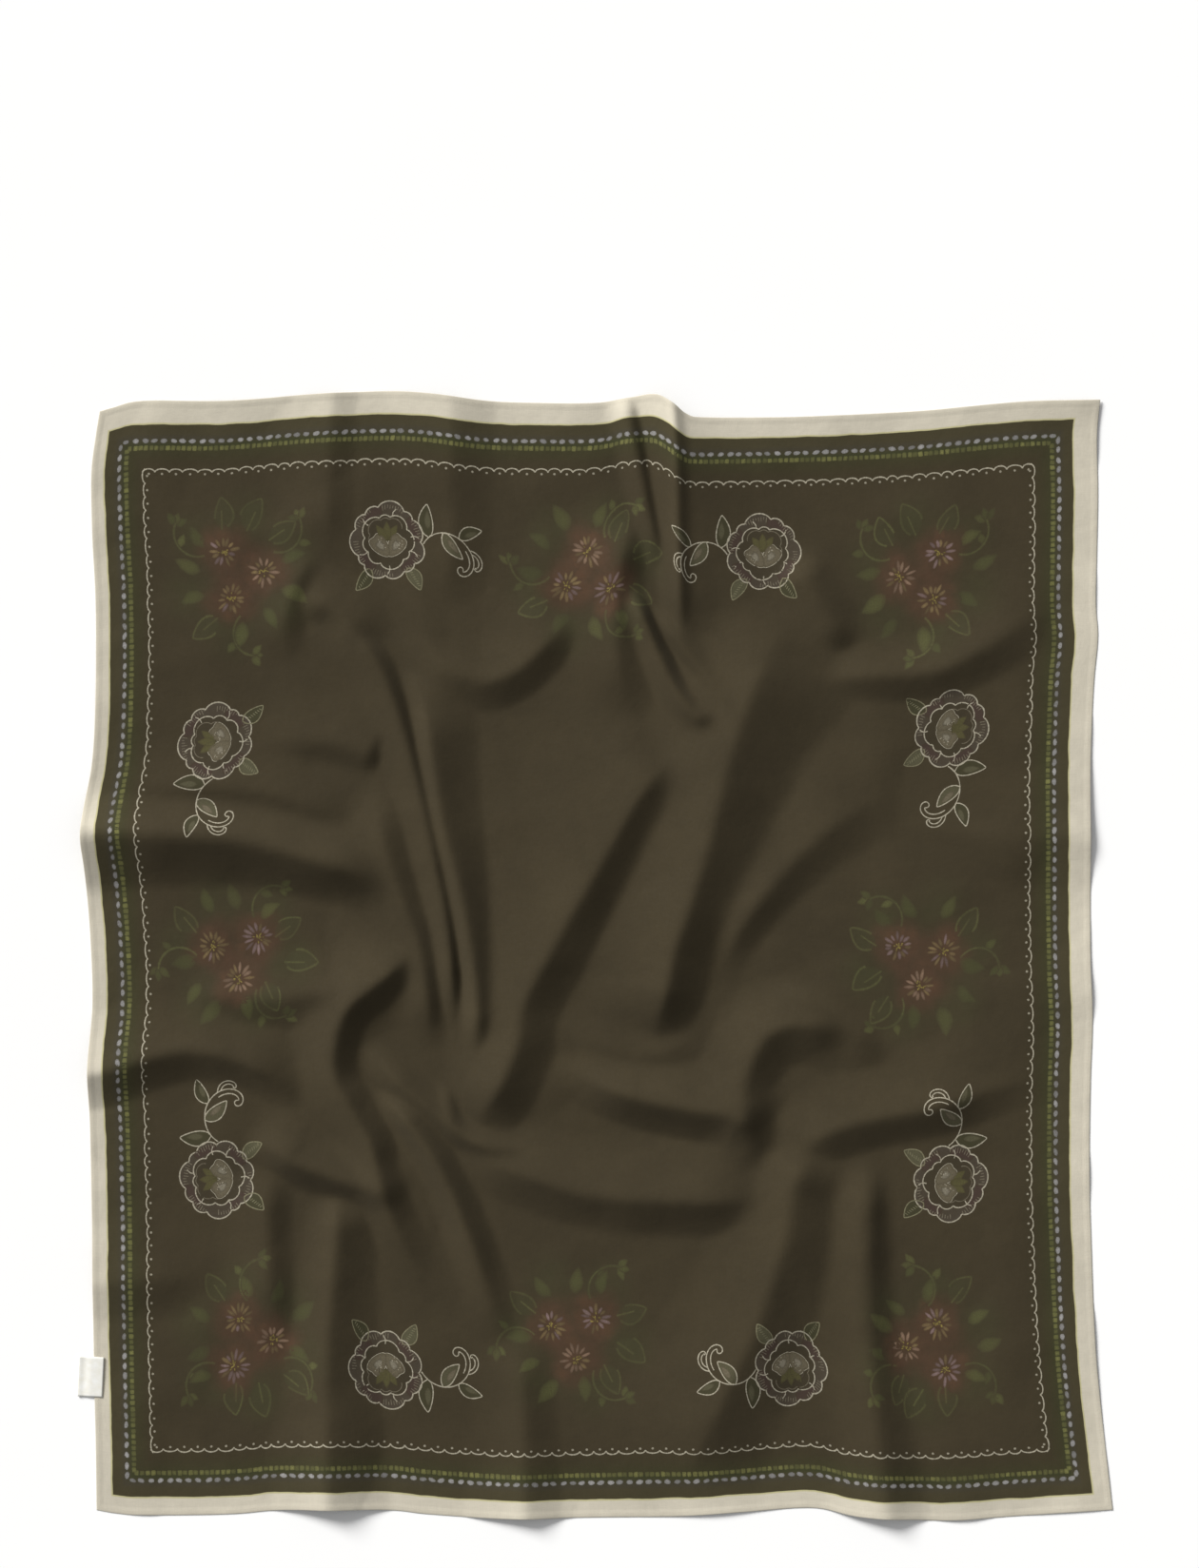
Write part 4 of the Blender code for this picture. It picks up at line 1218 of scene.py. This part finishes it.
def tape_material():
    """The label's tape: a fine satin weave with faint ribs across it."""
    nodes = Nodes("woven_tape")
    flat = nodes.read("flat", "Vector")
    ribs = nodes.noise(nodes.stretched(flat, 1 / 6.0, 1 / 0.28), 1.0, 1.0)
    floats = nodes.noise(nodes.stretched(flat, 1 / 0.2, 1 / 2.4), 1.0, 1.0)
    soil = nodes.spread(nodes.noise(flat, 0.12, 3.0), 0.0, 1.0)
    colour = nodes.mix(soil, solid(TAPE), solid(TAPE_WARM))
    return nodes.finish({
        "Base Color": nodes.scaled(colour, nodes.spread(ribs, 0.96, 1.03)),
        "Normal": nodes.bump(nodes.math("ADD", ribs, floats), 0.6, 0.08 * MM),
        "Roughness": nodes.spread(floats, 0.45, 0.6), "Sheen Weight": 0.1})


def make_cloth(cloth, material):
    """The scarf's cloth with its hem: one thin closed sheet."""
    layer, rim = cloth.triangles(), rim_of(numbered(cloth.flat))
    count = cloth.flat[..., 0].size
    after = np.roll(rim, -1)
    faces = np.concatenate([
        layer + count, layer[:, ::-1],
        np.column_stack([rim, after, after + count]),
        np.column_stack([rim, after + count, rim + count])])
    points = np.concatenate([cloth.under.reshape(-1, 3), cloth.top.reshape(-1, 3)])
    piece = mesh_piece("printed_cloth", points, faces, material)
    note_print(piece, np.tile(cloth.flat.reshape(-1, 2), (2, 1)))
    note(piece, "underside", np.repeat([1.0, 0.0], count))
    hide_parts("cloth")
    return piece


def make_stitches(name, cloth, starts, ends, material):
    """Stitches of thread between places of the cut, each out of the cloth and back into it."""
    stations, sides = 5, 6
    share = np.linspace(0, 1, stations)
    flat = starts[:, None] + share[:, None] * (ends - starts)[:, None]
    way = unit(ends - starts)
    across = left_of(way)
    centre, normal = cloth.at(flat.reshape(-1, 2), 0.0)
    aside, _ = cloth.at((flat + 0.3 * across[:, None]).reshape(-1, 2), 0.0)
    side = unit(aside - centre)
    swell = np.sin(np.pi * share)
    lift = np.tile(THREAD * (swell * 0.9 - 0.35), len(starts))
    radius = np.tile(THREAD / 2 * (0.45 + 0.55 * swell), len(starts))
    angle = np.arange(sides) * 2 * np.pi / sides
    ring = (side[:, None] * np.cos(angle)[:, None] + normal[:, None] * np.sin(angle)[:, None])
    points = (centre + lift[:, None] * normal)[:, None] + radius[:, None, None] * ring
    first = (np.arange(len(starts)) * stations * sides)[:, None, None]
    k, j = np.meshgrid(np.arange(stations - 1), np.arange(sides), indexing="ij")
    here, beyond = k * sides + j, k * sides + (j + 1) % sides
    tube = np.stack([here, beyond, beyond + sides, here, beyond + sides, here + sides], -1)
    tube = (tube.reshape(1, -1, 3) + first).reshape(-1, 3)
    fan = np.array([(0, j + 1, j) for j in range(1, sides - 1)])
    last = (stations - 1) * sides
    caps = np.concatenate([fan, fan[:, ::-1] + last])
    caps = (caps[None] + first).reshape(-1, 3)
    return mesh_piece(name, points.reshape(-1, 3), np.concatenate([tube, caps]), material)


def make_hem_stitches(cloth, material):
    """The line of stitches that holds the hem, all round the scarf."""
    draw = np.random.default_rng(21)
    inset = HEM_WIDTH - 0.9
    corners = np.array([(inset, inset), (CUT_WIDTH - inset, inset),
                        (CUT_WIDTH - inset, CUT_LENGTH - inset), (inset, CUT_LENGTH - inset)])
    starts, ends = [], []
    for corner, following in zip(corners, np.roll(corners, -1, axis=0)):
        count = int(np.hypot(*(following - corner)) / STITCH_PITCH)
        place = corner + np.linspace(0, 1, count + 1)[:, None] * (following - corner)
        place = place + draw.uniform(-0.12, 0.12, place.shape)
        starts.append(place[:-1])
        ends.append(place[:-1] + STITCH_SHARE * np.diff(place, axis=0))
    return make_stitches("hem_stitches", cloth, np.concatenate(starts), np.concatenate(ends),
                         material)


def label_frame(across, along, height):
    """Places of the label's points: across it from its free edge, along it from its middle."""
    turn = np.radians(LABEL_TURN)
    x = across - LABEL_WIDTH / 2
    return np.stack([LABEL_PLACE[0] + x * np.cos(turn) + along * np.sin(turn),
                     LABEL_PLACE[1] - x * np.sin(turn) + along * np.cos(turn), height], axis=-1)


def label_lift(across):
    """Height of the label's underside: its sewn part lies on the hem, its free part droops."""
    on_hem = HEM_THICKNESS + LABEL_GAP
    return on_hem * ease((across - 4.5) / 8.0) + 0.25 * np.exp(-((across - 1.0) / 2.0) ** 2)


def make_label(material):
    """The label: tape folded in two, its ends sewn to the hem. It bears nothing."""
    radius = LABEL_PLY * 0.75
    run = np.linspace(LABEL_WIDTH, radius, 20)
    bend = np.linspace(-np.pi / 2, -3 * np.pi / 2, 9)[1:-1]
    low = label_lift(run) + LABEL_PLY / 2
    across = np.concatenate([run, radius + radius * np.cos(bend), run[::-1]])
    height = np.concatenate([low, low[-1] + radius + radius * np.sin(bend), low[::-1] + 2 * radius])
    profile = np.column_stack([across, height])
    way = unit(np.gradient(profile, axis=0))
    out = -left_of(way)
    length = run_length(profile)
    along = np.linspace(-LABEL_LENGTH / 2, LABEL_LENGTH / 2, 27)
    edge = np.clip((LABEL_LENGTH / 2 - np.abs(along)) / 0.5, 0, 1) ** 0.5 * 0.5 + 0.5
    curl = LABEL_CURL * (along / along[-1]) ** 4
    sides = []
    for sign in (-1, 1):
        ply = profile[None] + sign * LABEL_PLY / 2 * edge[:, None, None] * out[None]
        lifted = ply[..., 1] + curl[:, None] * ease(1 - ply[..., 0] / 12.0)
        sides.append(label_frame(ply[..., 0], along[:, None] + 0 * across, lifted))
    flat = np.dstack(np.meshgrid(length, along))
    number = numbered(flat)
    layer = np.column_stack([corner.ravel() for corner in cells_of(number)])
    rim, count = rim_of(number), number.size
    after = np.roll(rim, -1)
    faces = np.concatenate([layer + count, layer[:, ::-1],
                            np.column_stack([rim, after, after + count, rim + count])])
    points = np.concatenate([side.reshape(-1, 3) for side in sides])
    piece = mesh_piece("label_tape", points, faces, material)
    note(piece, "flat", np.tile(np.column_stack([flat.reshape(-1, 2), np.zeros(count)]), (2, 1)))
    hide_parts("label")
    return piece


def make_camera():
    """Straight above, as far off as frames the picture's height at the surface."""
    camera = put_in_scene("camera", bpy.data.cameras.new("camera"))
    camera.location = (*VIEW_CENTRE, VIEW_DISTANCE)
    camera.data.sensor_width = 36.0
    camera.data.lens = camera.data.sensor_width * VIEW_DISTANCE / VIEW_HEIGHT
    bpy.context.scene.camera = camera


def make_light():
    """Soft, low key light from the upper left, and an even fill from all round."""
    key = bpy.data.lights.new("key", "SUN")
    key.energy = KEY_STRENGTH
    key.angle = np.radians(KEY_SOFTNESS)
    key.color = KEY_COLOUR
    lamp = put_in_scene("key", key)
    lamp.rotation_euler = (0, np.radians(90 - KEY_ELEVATION), np.radians(KEY_AZIMUTH))
    world = bpy.data.worlds.new("studio")
    world.use_nodes = True
    background = world.node_tree.nodes["Background"]
    background.inputs["Color"].default_value = (*FILL_COLOUR, 1.0)
    background.inputs["Strength"].default_value = FILL_STRENGTH
    bpy.context.scene.world = world
    bpy.context.scene.view_settings.view_transform = "Standard"


def make_floor():
    """A wide pale floor under the scarf."""
    nodes = Nodes("pale_floor")
    place = nodes.add("TexCoord", {}).outputs["Object"]
    tone = nodes.spread(nodes.noise(place, 3.0), 0.995, 1.005)
    material = nodes.finish({"Base Color": nodes.scaled(solid(FLOOR)[:3], tone),
                             "Roughness": 0.9, "Specular IOR Level": 0.1})
    mesh = bpy.data.meshes.new("floor")
    half = FLOOR_HALF
    mesh.from_pydata([(-half, -half, 0), (half, -half, 0), (half, half, 0), (-half, half, 0)],
                     [], [(0, 1, 2, 3)])
    mesh.materials.append(material)
    put_in_scene("floor", mesh)


make_camera()
make_light()
make_floor()
cloth = LyingCloth()
cotton, ink = printed_material(), ink_material()
scarf = make_cloth(cloth, cotton)

borders, roses, leaves, daisies = drawings = [Marks(*settings) for settings in PRINTS.values()]
draw_borders(borders)
for rose in ROSES:
    draw_rose(roses, rose)
for posy in POSIES:
    draw_posy(leaves, daisies, posy)
prints = [marks.piece(name, cloth, ink) for name, marks in zip(PRINTS, drawings)]

hem_stitches = make_hem_stitches(cloth, thread_material("hem_thread", EDGE_CLOTH))
hem_stitches.visible_shadow = False     # thread drawn down into a hem shades nothing
label = make_label(tape_material())
